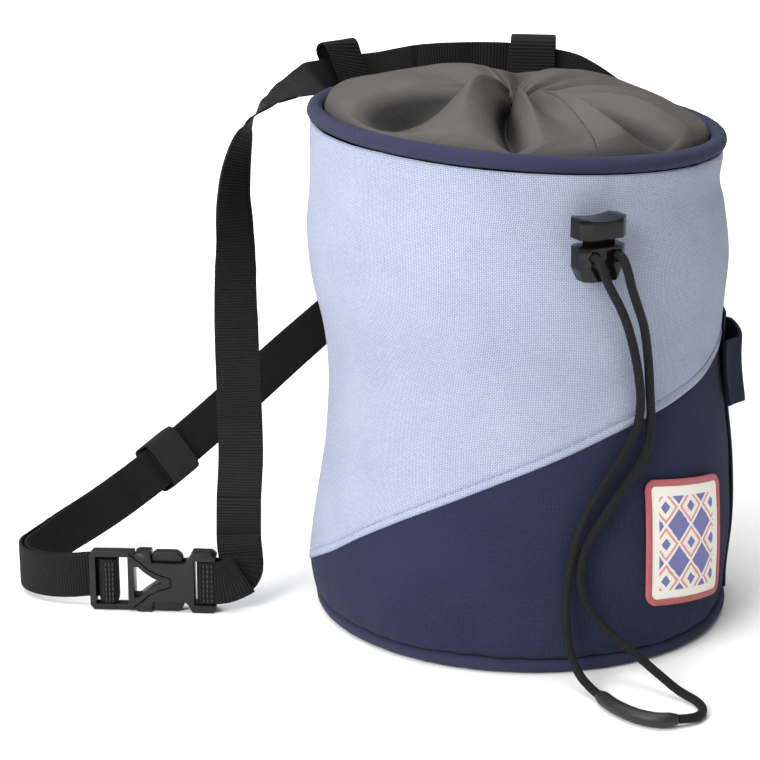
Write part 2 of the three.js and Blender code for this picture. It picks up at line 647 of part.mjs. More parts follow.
function toGeometry(solid) {
  const { vertProperties, triVerts } = solid.getMesh();
  const geometry = new THREE.BufferGeometry();
  geometry.setAttribute('position', new THREE.BufferAttribute(new Float32Array(vertProperties), 3));
  geometry.setIndex(new THREE.BufferAttribute(new Uint32Array(triVerts), 1));
  geometry.computeVertexNormals();
  return geometry;
}

// A plate from an outline of [u, v] points, centred on n = 0.
function plate(outline, thick) {
  const shape = new THREE.Shape(outline.map(([u, v]) => new THREE.Vector2(u, v)));
  return new THREE.ExtrudeGeometry(shape, { depth: thick, bevelEnabled: false }).translate(0, 0, -thick / 2);
}

const box = (from, to, low, high) => [[from, low], [to, low], [to, high], [from, high]];
const mirrored = (half) => [...half, ...half.map(([u, v]) => [u, -v]).reverse()];

// The yoke of the frame half: the lower and upper arms that run to the tip, and the window in it.
const yokeTip = 27.4;
const yokeOutside = mirrored([[yokeTip, -1.2], [yokeTip - 1.6, -1.9], [23.4, -2.6], [20.0, -4.4],
  [17.4, -6.8], [rightBar.from, -buckleTall / 2 + 0.4]]);
const yokeWindow = mirrored([[24.4, -0.3], [21.4, -1.6], [18.6, -3.6], [16.6, -5.4], [rightBar.to, -5.6]]);
const grown = (outline, by) => outline.map(([u, v]) => [u + by, v + Math.sign(v) * by]);

function frameHalf() {
  const half = buckleTall / 2;
  const rail = 1.9;
  const frame = toSolid(plate(mirrored([[rightBar.to, -half], [1.2, -half], [0, -half + 1.4]]), frameThick));
  const windowOne = toSolid(plate(box(leftBar.to, middleBar.from, -half + rail, half - rail), buckleThick));
  const windowTwo = toSolid(plate(box(middleBar.to, rightBar.from, -half + rail, half - rail), buckleThick));
  const slimBar = toSolid(plate(box(leftBar.to, rightBar.from, -half + rail, half - rail), buckleThick))
    .subtract(toSolid(plate(box(leftBar.to, rightBar.from, -half + rail, half - rail), barThick)));
  const yoke = toSolid(plate(yokeOutside, buckleThick)).subtract(toSolid(plate(yokeWindow, buckleThick + 1)));
  const prongs = [1, -1].map((side) => toSolid(sidePlate([
    [15, 4.6], [22, 4.6], [31, 6.0], [31.6, 8.4], [30.4, 10.0], [21.6, 10.0], [20.9, 8.2], [15, 8.2],
  ], prongThick, side)));
  const pads = [1, -1].map((side) => toSolid(sidePlate([
    [21.2, 7.3], [31.2, 7.3], [31.2, 8.9], [29.4, 10.3], [22.4, 10.3], [21.2, 9.4],
  ], frameThick, side)));
  return toGeometry([yoke, ...prongs, ...pads].reduce((sum, piece) => sum.add(piece),
    frame.subtract(windowOne).subtract(windowTwo).subtract(slimBar)));
}

function sidePlate(outline, thick, side) {
  const placed = outline.map(([u, v]) => [u, side * v]);
  return plate(side > 0 ? placed : placed.reverse(), thick);
}

function socketHalf() {
  const half = buckleTall / 2;
  const outside = mirrored([[buckleLong, -half + 1.2], [buckleLong - 1.4, -half], [34.6, -half],
    [33.0, -7.4], [32.2, -6.9], [21.2, -6.9], [20.6, -half], [rightBar.to + 1.4, -half],
    [rightBar.to + gap, -half + 0.6]]);
  const body = toSolid(plate(outside, buckleThick));
  const mouth = toSolid(plate(grown(yokeOutside, gap), buckleThick + 1));
  const pocket = toSolid(plate(mirrored([[32.0, -9.0], [16.0 - 4, -9.0]]), prongThick + 2 * gap));
  const slot = toSolid(plate(box(socketSlot.from, socketSlot.to, -beltWide / 2 - 0.4, beltWide / 2 + 0.4),
    buckleThick + 1));
  const thinned = toSolid(plate(box(socketBar.from - 0.1, buckleLong + 1, -beltWide / 2 - 0.4,
    beltWide / 2 + 0.4), buckleThick + 1))
    .subtract(toSolid(plate(box(socketBar.from - 1, buckleLong - 1, -half, half), barThick)));
  return toGeometry(body.subtract(mouth).subtract(pocket).subtract(slot).subtract(thinned));
}

// The cord lock's own frame: x to its right, y up, z out of its front.
function lockOutline(wide, thick, cut) {
  const [w, t] = [wide / 2, thick / 2];
  return [[-w + cut, -t], [w - cut, -t], [w, -t + cut], [w, t - cut * 1.4], [w - cut * 1.4, t],
    [-w + cut * 1.4, t], [-w, t - cut * 1.4], [-w, -t + cut]];
}

// An upright prism of a plan outline between two heights, its lower end drawn in.
function prism(outline, low, high, drawnIn = 1) {
  const ring = (scale, y) => outline.map(([x, z]) => vec(x * scale, y, z * scale));
  const points = [...ring(drawnIn, low), ...ring(1, high)];
  const n = outline.length;
  const index = [];
  for (let k = 0; k < n; k += 1) {
    const next = (k + 1) % n;
    index.push(k, k + n, next + n, k, next + n, next);
  }
  for (let k = 1; k < n - 1; k += 1) index.push(0, k, k + 1, n, n + k + 1, n + k);
  return fromPoints(points, index);
}

const capFoot = lockTall / 2 - lockCap;
const bodyHead = capFoot - lockTravel - lockSlack;

function lockBody() {
  const outline = lockOutline(lockWide - 0.6, lockThick - 0.4, 1.8);
  const upper = toSolid(prism(outline, -lockTall / 2 + 4, bodyHead));
  const lower = toSolid(prism(outline, -lockTall / 2, -lockTall / 2 + 4.01, 0.78));
  const socketFoot = capFoot - stemLong - lockTravel - 0.7;
  const socket = toSolid(new THREE.BoxGeometry(stemWide + 2 * gap, bodyHead - socketFoot + 1,
    stemThick + 2 * gap).translate(0, (bodyHead + socketFoot + 1) / 2, 0));
  const holeRadius = cordThick / 2 + cordHoleSlack;
  const hole = (side) => toSolid(new THREE.CylinderGeometry(holeRadius, holeRadius, lockThick, 10)
    .rotateX(Math.PI / 2)
    .translate(side * cordHoleSpacing / 2, bodyHead - cordHoleDrop, lockThick / 2 + 2.4));
  return toGeometry(upper.add(lower).subtract(socket).subtract(hole(1)).subtract(hole(-1)));
}

function lockButton() {
  const cap = toSolid(prism(lockOutline(lockWide, lockThick + 0.4, 2), capFoot, lockTall / 2));
  const dish = toSolid(new THREE.CylinderGeometry(26, 26, lockThick + 4, 64).rotateX(Math.PI / 2)
    .translate(0, lockTall / 2 + 25.2, 0));
  const stem = toSolid(new THREE.BoxGeometry(stemWide, stemLong + 0.5, stemThick)
    .translate(0, capFoot - stemLong / 2 + 0.25, 0));
  return toGeometry(cap.subtract(dish).add(stem));
}

// A round cord along chosen points.
function cord(points, thick, steps) {
  const route = new THREE.CatmullRomCurve3(points.map((p) => fromLaid(...p)), false, 'centripetal');
  const section = new THREE.Shape(Array.from({ length: 8 }, (_, k) => new THREE.Vector2(
    thick / 2 * Math.cos(Math.PI * k / 4), thick / 2 * Math.sin(Math.PI * k / 4))));
  return new THREE.ExtrudeGeometry(section, { steps, extrudePath: route, bevelEnabled: false });
}

const bag = new THREE.Group();

function add(name, geometry, colour, roughness = 0.9, holder = bag) {
  const material = new THREE.MeshStandardMaterial({ color: colour, roughness, metalness: 0 });
  const mesh = new THREE.Mesh(geometry, material);
  mesh.name = name;
  holder.add(mesh);
  return mesh;
}

// Fabric panels
const wallFoot = basePiping + gap;
const wallHead = bagHeight - rimPiping - gap;
const sideGap = gap / radians(rimRadius) * 1.1;

add('front_upper_panel', wallSheet({
  from: leftSeamTurn, to: rightSeamTurn, columns: 32, rows: 8,
  foot: seamUp, head: () => wallHead,
}), colours.light);
add('front_lower_panel', wallSheet({
  from: leftSeamTurn, to: rightSeamTurn, columns: 32, rows: 6,
  foot: () => wallFoot, head: (turn) => seamUp(turn) - gap,
}), colours.navy);
add('back_panel', wallSheet({
  from: rightSeamTurn + sideGap, to: leftSeamTurn + 360 - sideGap, columns: 26, rows: 9,
  foot: () => wallFoot, head: () => wallHead,
}), colours.navy);

// Base and piping
const baseRingRadius = rimRadius * wallProfile[0].wide - basePiping / 2;
const baseDisc = new THREE.CylinderGeometry(baseRingRadius - basePiping / 2 - gap,
  baseRingRadius - basePiping / 2 - gap, baseThick, 48).rotateX(Math.PI / 2);
add('base_panel', baseDisc, colours.navy).position.copy(drumMiddle(0).add(vec(0, 0, baseThick / 2)));
add('base_piping', pipingRing(baseRingRadius, basePiping / 2, basePiping), colours.piping);
add('rim_piping', pipingRing(rimRadius - rimPiping / 2, bagHeight - rimPiping / 2, rimPiping),
  colours.piping);
add('collar', collar(), colours.collar, 0.85);

// What is sewn to the wall
add('patch_border', patchEdge(), colours.border);
add('patch_face', patchFace(), colours.field);
const stripHalf = stripWide / 2 / radians(rimRadius);
add('side_strip', wallSheet({
  from: stripTurn - stripHalf, to: stripTurn + stripHalf, columns: 6, rows: 8,
  foot: () => stripFoot, head: () => stripHead, out: sewnGap + stripThick, thick: stripThick,
}), colours.stripBlack);
const brushRest = sewnGap + stripThick + gap + beltThick;
add('brush_loop', wallSheet({
  from: brushLoopTurn - brushLoopSpan / 2, to: brushLoopTurn + brushLoopSpan / 2, columns: 12, rows: 2,
  foot: () => brushLoopMiddle - brushLoopWide / 2, head: () => brushLoopMiddle + brushLoopWide / 2,
  out: (share) => brushRest + brushLoopBulge * Math.min(1, 2.2 * Math.sin(Math.PI * share) ** 1.5),
  thick: beltThick,
}), colours.webbing);

// Belt
add('belt_webbing', ribbon(beltStations(), 2), colours.webbing);
add('belt_keeper', beltKeeper(), colours.webbing);
for (const [side, turn] of Object.entries(loopTurns)) {
  add(`belt_loop_${side}`, beltLoop(turn, loopLeans[side]), colours.webbing);
}

// Buckle: its plates lie in the u, v plane, stood upright and turned with the laid frame
const buckle = new THREE.Group();
buckle.position.copy(buckleAt(0, 0));
buckle.rotation.set(Math.PI / 2, 0, -radians(laidTurn), 'ZYX');
bag.add(buckle);
add('buckle_frame', frameHalf(), colours.plastic, 0.45, buckle);
add('buckle_socket', socketHalf(), colours.plastic, 0.45, buckle);

// Cord lock
const lock = new THREE.Group();
const yaw = radians(lockYaw);
const lockOut = (lockThick / 2 + 0.2) * Math.cos(yaw) + lockWide / 2 * Math.sin(yaw);
lock.position.copy(wallPoint(lockTurn, lockUp, lockOut));
lock.rotation.set(Math.PI / 2, 0, radians(lockTurn + lockYaw), 'ZYX');
bag.add(lock);
add('cord_lock_body', lockBody(), colours.plastic, 0.3, lock);
add('cord_lock_button', lockButton(), colours.plastic, 0.3, lock);

// Cords
add('cord_right', cord(rightCordPoints, cordThick, 34), colours.cord);
add('cord_left', cord(leftCordPoints, cordThick, 28), colours.cord);
add('cord_sleeve', cord(sleevePoints, sleeveThick, 8), colours.cord, 0.5);

export default bag;
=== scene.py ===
# %% [markdown]
# # A climbing chalk bag
# This notebook dresses a plain model of a chalk bag: a fabric drum with a gathered collar, a cord lock, a waist
# belt with a buckle, and a sewn patch. The plain model fixes where everything is. Each step below makes one
# piece again with the shape and the finish of the real one, in metres, in the same place.

# %% The plain model
import math

import bmesh
import bpy
from mathutils import Matrix, Vector, noise


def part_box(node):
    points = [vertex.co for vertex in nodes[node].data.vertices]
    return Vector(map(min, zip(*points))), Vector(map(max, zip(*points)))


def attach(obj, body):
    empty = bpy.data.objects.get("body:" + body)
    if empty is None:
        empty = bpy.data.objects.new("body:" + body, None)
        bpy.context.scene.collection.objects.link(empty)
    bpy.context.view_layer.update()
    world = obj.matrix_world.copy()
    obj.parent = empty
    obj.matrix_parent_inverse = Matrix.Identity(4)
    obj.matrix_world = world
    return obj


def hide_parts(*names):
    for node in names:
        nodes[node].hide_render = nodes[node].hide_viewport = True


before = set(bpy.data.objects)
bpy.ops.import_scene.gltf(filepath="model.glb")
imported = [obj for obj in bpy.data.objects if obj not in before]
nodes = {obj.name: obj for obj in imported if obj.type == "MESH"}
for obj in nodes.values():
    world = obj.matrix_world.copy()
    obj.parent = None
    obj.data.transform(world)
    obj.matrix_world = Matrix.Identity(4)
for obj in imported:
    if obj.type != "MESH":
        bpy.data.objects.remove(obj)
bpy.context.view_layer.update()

# %% [markdown]
# ## Camera
# The picture was taken with a long lens from the left, a little above the rim. A camera is placed by where it
# stands and where it looks. A long lens from further off keeps the upright sides nearly parallel, as here.

# %% Camera
MM = 0.001
camera_data = bpy.data.cameras.new("camera")
camera_data.lens = 113.68
camera_data.sensor_width = 36
camera_data.sensor_fit = "HORIZONTAL"
camera_data.clip_start = 0.01
camera = bpy.data.objects.new("camera", camera_data)
camera.location = (-0.31316, -0.69800, 0.30805)
camera.rotation_euler = Vector((0.33482, 0.89618, -0.29115)).to_track_quat("-Z", "Y").to_euler()
bpy.context.scene.collection.objects.link(camera)
bpy.context.scene.camera = camera

# %% [markdown]
# ## Where things are
# The belt and cords were laid out in a frame that is turned from the bag's own, and the drum leans and dips a
# little. These helpers give places in millimetres, from the same named sizes as the plain model.

# %% Places on the bag
RIM_RADIUS = 67.5
BAG_HEIGHT = 165.4
WALL_THICK = 1.8
RIM_PIPING = 5.2
BASE_PIPING = 4.7
LAID_TURN = math.radians(24)
LEAN_TURN = math.radians(-114)
DIP_TURN = 66
DIP = math.tan(math.radians(3.8))

# share of the height, width and lean as shares of the rim radius
wall_profile = [
    (0.00, 1.027, 0.018), (0.09, 1.047, 0.031), (0.15, 1.041, 0.025), (0.24, 1.018, 0.010), (0.33, 0.993, 0.000),
    (0.42, 0.976, 0.010), (0.51, 0.967, 0.028), (0.58, 0.976, 0.041), (0.67, 1.006, 0.059), (0.76, 1.018, 0.062),
    (0.85, 0.996, 0.068), (0.90, 0.982, 0.081), (0.96, 0.990, 0.077), (1.00, 1.000, 0.077),
]
# turn, height, spread in degrees, spread in height, depth
wall_dents = [
    (-34, 0.07, 7, 0.06, 0.022), (-52, 0.05, 9, 0.05, -0.006), (66, 0.07, 22, 0.09, 0.026),
    (-95, 0.50, 24, 0.12, 0.012), (-60, 0.93, 12, 0.05, 0.008), (20, 0.90, 16, 0.06, 0.010),
    (50, 0.55, 14, 0.10, 0.010),
]
# turn and height of the slanting seam
seam_line = [
    (-124, 0.052), (-109, 0.078), (-86, 0.155), (-72, 0.218), (-57, 0.281), (-44, 0.330), (-32, 0.371),
    (-12, 0.431), (6, 0.478), (30, 0.522), (43, 0.541), (64, 0.580),
]


def blend(table, column, at):
    """A smooth value from a column of a table at a place in its first column."""
    last = len(table) - 1
    i = 0
    while i < last - 1 and at > table[i + 1][0]:
        i += 1
    a, b, c, d = (table[min(max(k, 0), last)] for k in (i - 1, i, i + 1, i + 2))
    span = c[0] - b[0]
    t = min(max((at - b[0]) / span, 0), 1)
    slope_in = (c[column] - a[column]) / (c[0] - a[0]) * span
    slope_out = (d[column] - b[column]) / (d[0] - b[0]) * span
    return ((2 * t**3 - 3 * t * t + 1) * b[column] + (t**3 - 2 * t * t + t) * slope_in
            + (3 * t * t - 2 * t**3) * c[column] + (t**3 - t * t) * slope_out)


def bell(x):
    return math.exp(-x * x)


def turn_between(a, b):
    return (a - b + 540) % 360 - 180


def drum_middle(z):
    lean = RIM_RADIUS * blend(wall_profile, 2, z / BAG_HEIGHT)
    return Vector((lean * math.sin(LEAN_TURN), -lean * math.cos(LEAN_TURN), 0))


def drum_point(turn, radius, z):
    share = z / BAG_HEIGHT
    dip = DIP * radius * math.cos(math.radians(turn - DIP_TURN)) * share * share
    angle = math.radians(turn)
    return Vector((radius * math.sin(angle), -radius * math.cos(angle), z - dip)) + drum_middle(z)


def wall_radius(turn, z):
    radius = RIM_RADIUS * blend(wall_profile, 1, z / BAG_HEIGHT)
    for dent_turn, up, spread, tall, deep in wall_dents:
        radius -= (RIM_RADIUS * deep * bell(turn_between(turn, dent_turn) / spread)
                   * bell((z / BAG_HEIGHT - up) / tall))
    return radius


def wall_point(turn, z, out=0.0):
    return drum_point(turn, wall_radius(turn, z) + out, z)


def seam_up(turn):
    return BAG_HEIGHT * blend(seam_line, 1, turn)


def from_laid(across, back, up):
    c, s = math.cos(LAID_TURN), math.sin(LAID_TURN)
    return Vector((across * c + back * s, back * c - across * s, up))


def outward(turn):
    return Vector((math.sin(math.radians(turn)), -math.cos(math.radians(turn)), 0))


# %% [markdown]
# ## Bending a grid
# Cloth, webbing, cord and piping are all one flat grid that is bent to its place. The grid operator gives the
# faces, and each corner is then moved. The flat place of a corner is kept as its UV, in metres, so that a weave
# has its real size and follows the piece round every bend. Corners that meet are welded, which closes a tube.

# %% Bending a grid
def bent_grid(columns, rows, place, flat, tint=None):
    mesh = bmesh.new()
    bmesh.ops.create_grid(mesh, x_segments=columns, y_segments=rows, size=0.5)
    sheet = mesh.loops.layers.uv.new("UVMap")
    # tint, when given, gives painted shade at each corner, kept for the material to darken by.
    shade = mesh.verts.layers.float.new("painted_fold_shade") if tint else None
    shares = {v: (v.co.x + 0.5, v.co.y + 0.5) for v in mesh.verts}
    for face in mesh.faces:
        face.smooth = True
        for loop in face.loops:
            u, v = flat(*shares[loop.vert])
            loop[sheet].uv = (u * MM, v * MM)
    for v, (s, t) in shares.items():
        v.co = place(s, t) * MM
        if tint:
            v[shade] = tint(s, t)
    bmesh.ops.remove_doubles(mesh, verts=mesh.verts, dist=1e-6)
    return mesh


def close_ends(mesh):
    open_edges = [e for e in mesh.edges if e.is_boundary]
    bmesh.ops.holes_fill(mesh, edges=open_edges, sides=0)
    bmesh.ops.recalc_face_normals(mesh, faces=mesh.faces)
    return mesh


def piece(name, mesh, material, stands_for=(), body="bag"):
    data = bpy.data.meshes.new(name)
    mesh.to_mesh(data)
    mesh.free()
    made = bpy.data.objects.new(name, data)
    bpy.context.scene.collection.objects.link(made)
    data.materials.append(material)
    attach(made, body)
    if stands_for:
        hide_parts(*stands_for)
    print(name, len(data.polygons), "faces")
    return made


def give_thickness(made, thick, bevel=0.0):
    wall = made.modifiers.new("wall", "SOLIDIFY")
    wall.thickness = thick * MM
    wall.offset = -1
    wall.use_even_offset = True
    if bevel:
        edge = made.modifiers.new("edge", "BEVEL")
        edge.width = bevel * MM
        edge.segments = 2
        edge.limit_method = "ANGLE"
        edge.angle_limit = math.radians(50)
    return made


# %% [markdown]
# ## Smooth lines
# A cord or a belt is drawn through a few chosen points. A Catmull-Rom line goes through all of them, and its
# centripetal kind makes no loops where two points are close together.

# %% Smooth lines
def smooth_steps(points, spacing):
    """Points about `spacing` apart on a smooth line through the given ones, each with its place among them."""
    points = [Vector(p) for p in points]
    ends = [2 * points[0] - points[1]] + points + [2 * points[-1] - points[-2]]
    line = []
    for k in range(1, len(ends) - 2):
        p0, p1, p2, p3 = ends[k - 1:k + 3]
        d0, d1, d2 = (max((b - a).length ** 0.5, 1e-4) for a, b in ((p0, p1), (p1, p2), (p2, p3)))
        m1 = ((p1 - p0) / d0 - (p2 - p0) / (d0 + d1) + (p2 - p1) / d1) * d1
        m2 = ((p2 - p1) / d1 - (p3 - p1) / (d1 + d2) + (p3 - p2) / d2) * d1
        steps = max(1, round((p2 - p1).length / spacing))
        for n in range(steps):
            t = n / steps
            spot = ((2 * t**3 - 3 * t * t + 1) * p1 + (t**3 - 2 * t * t + t) * m1
                    + (3 * t * t - 2 * t**3) * p2 + (t**3 - t * t) * m2)
            line.append((spot, k - 1 + t))
    line.append((points[-1], len(points) - 1))
    return line


def smooth_line(points, spacing):
    return [spot for spot, _ in smooth_steps(points, spacing)]


def lengths_along(line):
    total = [0.0]
    for a, b in zip(line, line[1:]):
        total.append(total[-1] + (b - a).length)
    return total


def tangents(line):
    return [(line[min(k + 1, len(line) - 1)] - line[max(k - 1, 0)]).normalized() for k in range(len(line))]


def sweep(stations, section, around, closed=False):
    """A section carried along stations of (middle, a_way, b_way)."""
    count = len(stations) if closed else len(stations) - 1
    middles = [s[0] for s in stations] + ([stations[0][0]] if closed else [])
    run = lengths_along(middles)
    girth = lengths_along([Vector((*section(k / around), 0)) for k in range(around + 1)])

    def place(s, t):
        middle, a_way, b_way = stations[round(s * count) % len(stations)]
        a, b = section(t)
        return middle + a_way * a + b_way * b

    def flat(s, t):
        return run[round(s * count)], girth[round(t * around)]

    mesh = bent_grid(count, around, place, flat)
    if closed:
        bmesh.ops.recalc_face_normals(mesh, faces=mesh.faces)
        return mesh
    return close_ends(mesh)


def round_section(diameter):
    return lambda t: (diameter / 2 * math.cos(2 * math.pi * t), diameter / 2 * math.sin(2 * math.pi * t))


def band_section(wide, thick, power=0.25):
    """Flat faces and soft edges: a circle whose sides are pushed out to a box."""
    def section(t):
        c, s = math.cos(2 * math.pi * t), math.sin(2 * math.pi * t)
        return (math.copysign(abs(c) ** power, c) * wide / 2, math.copysign(abs(s) ** power, s) * thick / 2)
    return section


def cord_stations(line):
    """Stations that turn with a line without twisting round it."""
    ways = tangents(line)
    side = ways[0].orthogonal().normalized()
    stations = []
    for k, (middle, along) in enumerate(zip(line, ways)):
        if k:
            side = ways[k - 1].rotation_difference(along) @ side
        stations.append((middle, side.copy(), along.cross(side)))
    return stations


# %% [markdown]
# ## Wiring a material
# Materials here are worked out from numbers, with no pictures. A weave is only sines of the flat place on the
# cloth: one set of yarns rounds its back across the cloth, the other along it, and each in turn dips under its
# neighbour. The same numbers tint the yarn on top, darken it with painted shade where it dips, and raise it with a
# bump.

# %% Wiring a material
def srgb(r, g, b):
    channels = [v / 255 for v in (r, g, b)]
    return tuple(v / 12.92 if v <= 0.04045 else ((v + 0.055) / 1.055) ** 2.4 for v in channels) + (1.0,)


class Wiring:
    """A material's nodes, with short calls to add and join them."""
    def __init__(self, name, roughness=0.8, sheen=0.0, specular=0.5):
        self.material = bpy.data.materials.new(name)
        self.material.use_nodes = True
        self.tree = self.material.node_tree
        self.shader = self.tree.nodes["Principled BSDF"]
        self.shader.inputs["Roughness"].default_value = roughness
        self.shader.inputs["Sheen Weight"].default_value = sheen
        self.shader.inputs["Sheen Roughness"].default_value = 0.4
        self.shader.inputs["Specular IOR Level"].default_value = specular

    def join(self, value, socket):
        if isinstance(value, bpy.types.NodeSocket):
            self.tree.links.new(value, socket)
        else:
            socket.default_value = value

    def math(self, operation, *values):
        node = self.tree.nodes.new("ShaderNodeMath")
        node.operation = operation
        for value, socket in zip(values, node.inputs):
            self.join(value, socket)
        return node.outputs[0]

    def mix(self, share, a, b):
        node = self.tree.nodes.new("ShaderNodeMix")
        node.data_type = "RGBA"
        self.join(share, node.inputs[0])
        self.join(a, node.inputs[6])
        self.join(b, node.inputs[7])
        return node.outputs[2]

    def flat_place(self):
        node = self.tree.nodes.new("ShaderNodeUVMap")
        node.uv_map = "UVMap"
        split = self.tree.nodes.new("ShaderNodeSeparateXYZ")
        self.tree.links.new(node.outputs[0], split.inputs[0])
        return split.outputs[0], split.outputs[1], node.outputs[0]

    def object_place(self):
        return self.tree.nodes.new("ShaderNodeTexCoord").outputs["Object"]

    def noise(self, place, scale, detail=2.0, roughness=0.5):
        node = self.tree.nodes.new("ShaderNodeTexNoise")
        self.join(place, node.inputs["Vector"])
        node.inputs["Scale"].default_value = scale
        node.inputs["Detail"].default_value = detail
        node.inputs["Roughness"].default_value = roughness
        return node.outputs[0]

    def scaled(self, value, low, high):
        node = self.tree.nodes.new("ShaderNodeMapRange")
        self.join(value, node.inputs["Value"])
        node.inputs["To Min"].default_value = low
        node.inputs["To Max"].default_value = high
        return node.outputs[0]

    def bump(self, height, distance, under=None, strength=1.0):
        node = self.tree.nodes.new("ShaderNodeBump")
        node.inputs["Strength"].default_value = strength
        node.inputs["Distance"].default_value = distance
        self.join(height, node.inputs["Height"])
        if under is not None:
            self.join(under, node.inputs["Normal"])
        return node.outputs[0]

    def finish(self, colour, normal=None, roughness=None):
        self.join(colour, self.shader.inputs["Base Color"])
        if normal is not None:
            self.join(normal, self.shader.inputs["Normal"])
        if roughness is not None:
            self.join(roughness, self.shader.inputs["Roughness"])
        return self.material


def plain_weave(w, across, up, pitch_across, pitch_up):
    """Height of the yarn on top, and whether it is an upright one."""
    x = w.math("DIVIDE", across, pitch_across)
    y = w.math("DIVIDE", up, pitch_up)
    column, row = w.math("FLOOR", x), w.math("FLOOR", y)
    upright_back = w.math("ABSOLUTE", w.math("SINE", w.math("MULTIPLY", x, math.pi)))
    level_back = w.math("ABSOLUTE", w.math("SINE", w.math("MULTIPLY", y, math.pi)))

    def lift(run, line, start):
        turn = w.math("MULTIPLY", w.math("ADD", w.math("ADD", run, line), start), math.pi)
        return w.math("MULTIPLY_ADD", w.math("COSINE", turn), 0.5, 0.5)

    upright = w.math("MULTIPLY", upright_back, lift(y, column, -0.5))
    level = w.math("MULTIPLY", level_back, lift(x, row, 0.5))
    return w.math("MAXIMUM", upright, level), w.math("GREATER_THAN", upright, level)


# %% [markdown]
# ## Fabrics
# The light front is a coarse weave of a pale and a darker blue yarn, which reads as small bright dots. The navy
# cloth is the same stuff in one colour. Both darken with painted shade where the yarns dip. A slow noise gives
# each yarn and each patch of cloth its own shade.

# %% Fabrics
def woven_cloth(name, top, under, pitch, depth, roughness=0.9, sheen=0.03, contrast=0.75):
    w = Wiring(name, roughness, sheen, specular=0.12)
    across, up, place = w.flat_place()
    height, on_top = plain_weave(w, across, up, pitch * MM, pitch * MM)
    slubs = w.noise(place, 900, 1.0)
    patches = w.noise(place, 45, 3.0)
    # The share falls with the yarn's height, which is painted shade in the gaps where yarns dip. The level yarns
    # are also a little darker than the upright ones.
    yarn_and_gap_shade = w.math("MULTIPLY", w.math("MULTIPLY_ADD", on_top, 1 - contrast, contrast * 0.9), height)
    share = w.math("MULTIPLY", yarn_and_gap_shade, w.scaled(slubs, 0.75, 1.3))
    share = w.math("ADD", share, w.scaled(patches, -0.10, 0.10))
    colour = w.mix(w.math("MINIMUM", w.math("MAXIMUM", share, 0.0), 1.0), srgb(*under), srgb(*top))
    fuzz = w.bump(slubs, depth * 0.4 * MM)
    return w.finish(colour, w.bump(height, depth * MM, fuzz))


light_cloth = woven_cloth("light basket weave", (198, 204, 216), (98, 108, 143), 0.55, 0.16)
navy_cloth = woven_cloth("navy canvas", (57, 61, 88), (11, 13, 33), 0.42, 0.12)
dark_cloth = woven_cloth("dark side cloth", (50, 53, 76), (16, 17, 30), 0.42, 0.12)


def binding_tape(name, top, under, pitch):
    """Tape cut on the bias and folded round a cord: fine slanting ribs."""
    w = Wiring(name, 0.85, 0.03, specular=0.15)
    along, around, place = w.flat_place()
    slant = w.math("DIVIDE", w.math("ADD", along, around), pitch * MM)
    rib = w.math("ABSOLUTE", w.math("SINE", w.math("MULTIPLY", slant, math.pi)))
    fine = w.noise(place, 1400, 1.0)
    share = w.math("MULTIPLY", rib, w.scaled(fine, 0.7, 1.25))
    # Grooves between the ribs run to the under colour: painted shade.
    colour = w.mix(w.math("MINIMUM", share, 1.0), srgb(*under), srgb(*top))
    return w.finish(colour, w.bump(rib, 0.12 * MM, w.bump(w.noise(place, 120, 2.0), 0.5 * MM)))


piping_tape = binding_tape("piping tape", (59, 61, 87), (11, 12, 35), 0.6)


def thin_nylon():
    w = Wiring("grey nylon", 0.6, 0.0, specular=0.25)
    across, up, place = w.flat_place()
    height, on_top = plain_weave(w, across, up, 0.45 * MM, 0.45 * MM)
    patches = w.noise(place, 60, 3.0)
    # The weave's dips are darkened to half the share, which is painted shade. Slow patches add real tone.
    share = w.math("MULTIPLY", w.math("MULTIPLY_ADD", height, 0.5, 0.5), w.scaled(patches, 0.8, 1.1))
    colour = w.mix(share, srgb(35, 33, 32), srgb(83, 80, 78))
    # Painted shade: spots deep in the collar's folds are darkened towards near black, by the value kept at each
    # corner.
    painted_fold_shade = w.tree.nodes.new("ShaderNodeAttribute")
    painted_fold_shade.attribute_name = "painted_fold_shade"
    colour = w.mix(painted_fold_shade.outputs["Fac"], colour, srgb(14, 13, 13))
    crumple = w.bump(w.noise(place, 110, 3.0, 0.55), 0.5 * MM)
    return w.finish(colour, w.bump(height, 0.05 * MM, crumple))


collar_nylon = thin_nylon()


def ribbed_webbing(name, pitch, top=(28, 27, 27), under=(3, 3, 3)):
    """Ribs run across the band, and each is a row of yarn ends."""
    w = Wiring(name, 0.75, 0.0, specular=0.2)
    along, around, place = w.flat_place()
    height, on_top = plain_weave(w, around, along, 0.55 * MM, pitch * MM)
    rib = w.math("ABSOLUTE", w.math("SINE", w.math("MULTIPLY", w.math("DIVIDE", along, pitch * MM), math.pi)))
    both = w.math("MULTIPLY_ADD", height, 0.35, w.math("MULTIPLY", rib, 0.65))
    fine = w.noise(place, 1500, 1.0)
    # The grooves between ribs and yarns run to the near black under colour, which is painted shade. The crowns keep
    # the webbing's own dark grey.
    share = w.math("MULTIPLY", w.math("POWER", both, 1.5), w.scaled(fine, 0.6, 1.2))
    colour = w.mix(w.math("MINIMUM", share, 1.0), srgb(*under), srgb(*top))
    return w.finish(colour, w.bump(both, 0.22 * MM))


belt_stuff = ribbed_webbing("belt webbing", 0.95)
loop_stuff = ribbed_webbing("loop webbing", 1.15)

# %% [markdown]
# ## Plastics, cord and thread
# The buckle is satin, with the fine spark texture of its mould. The lock is smooth and glossy. The cord is
# braided: two sets of strands wind round it opposite ways, and each in turn crosses over the other.

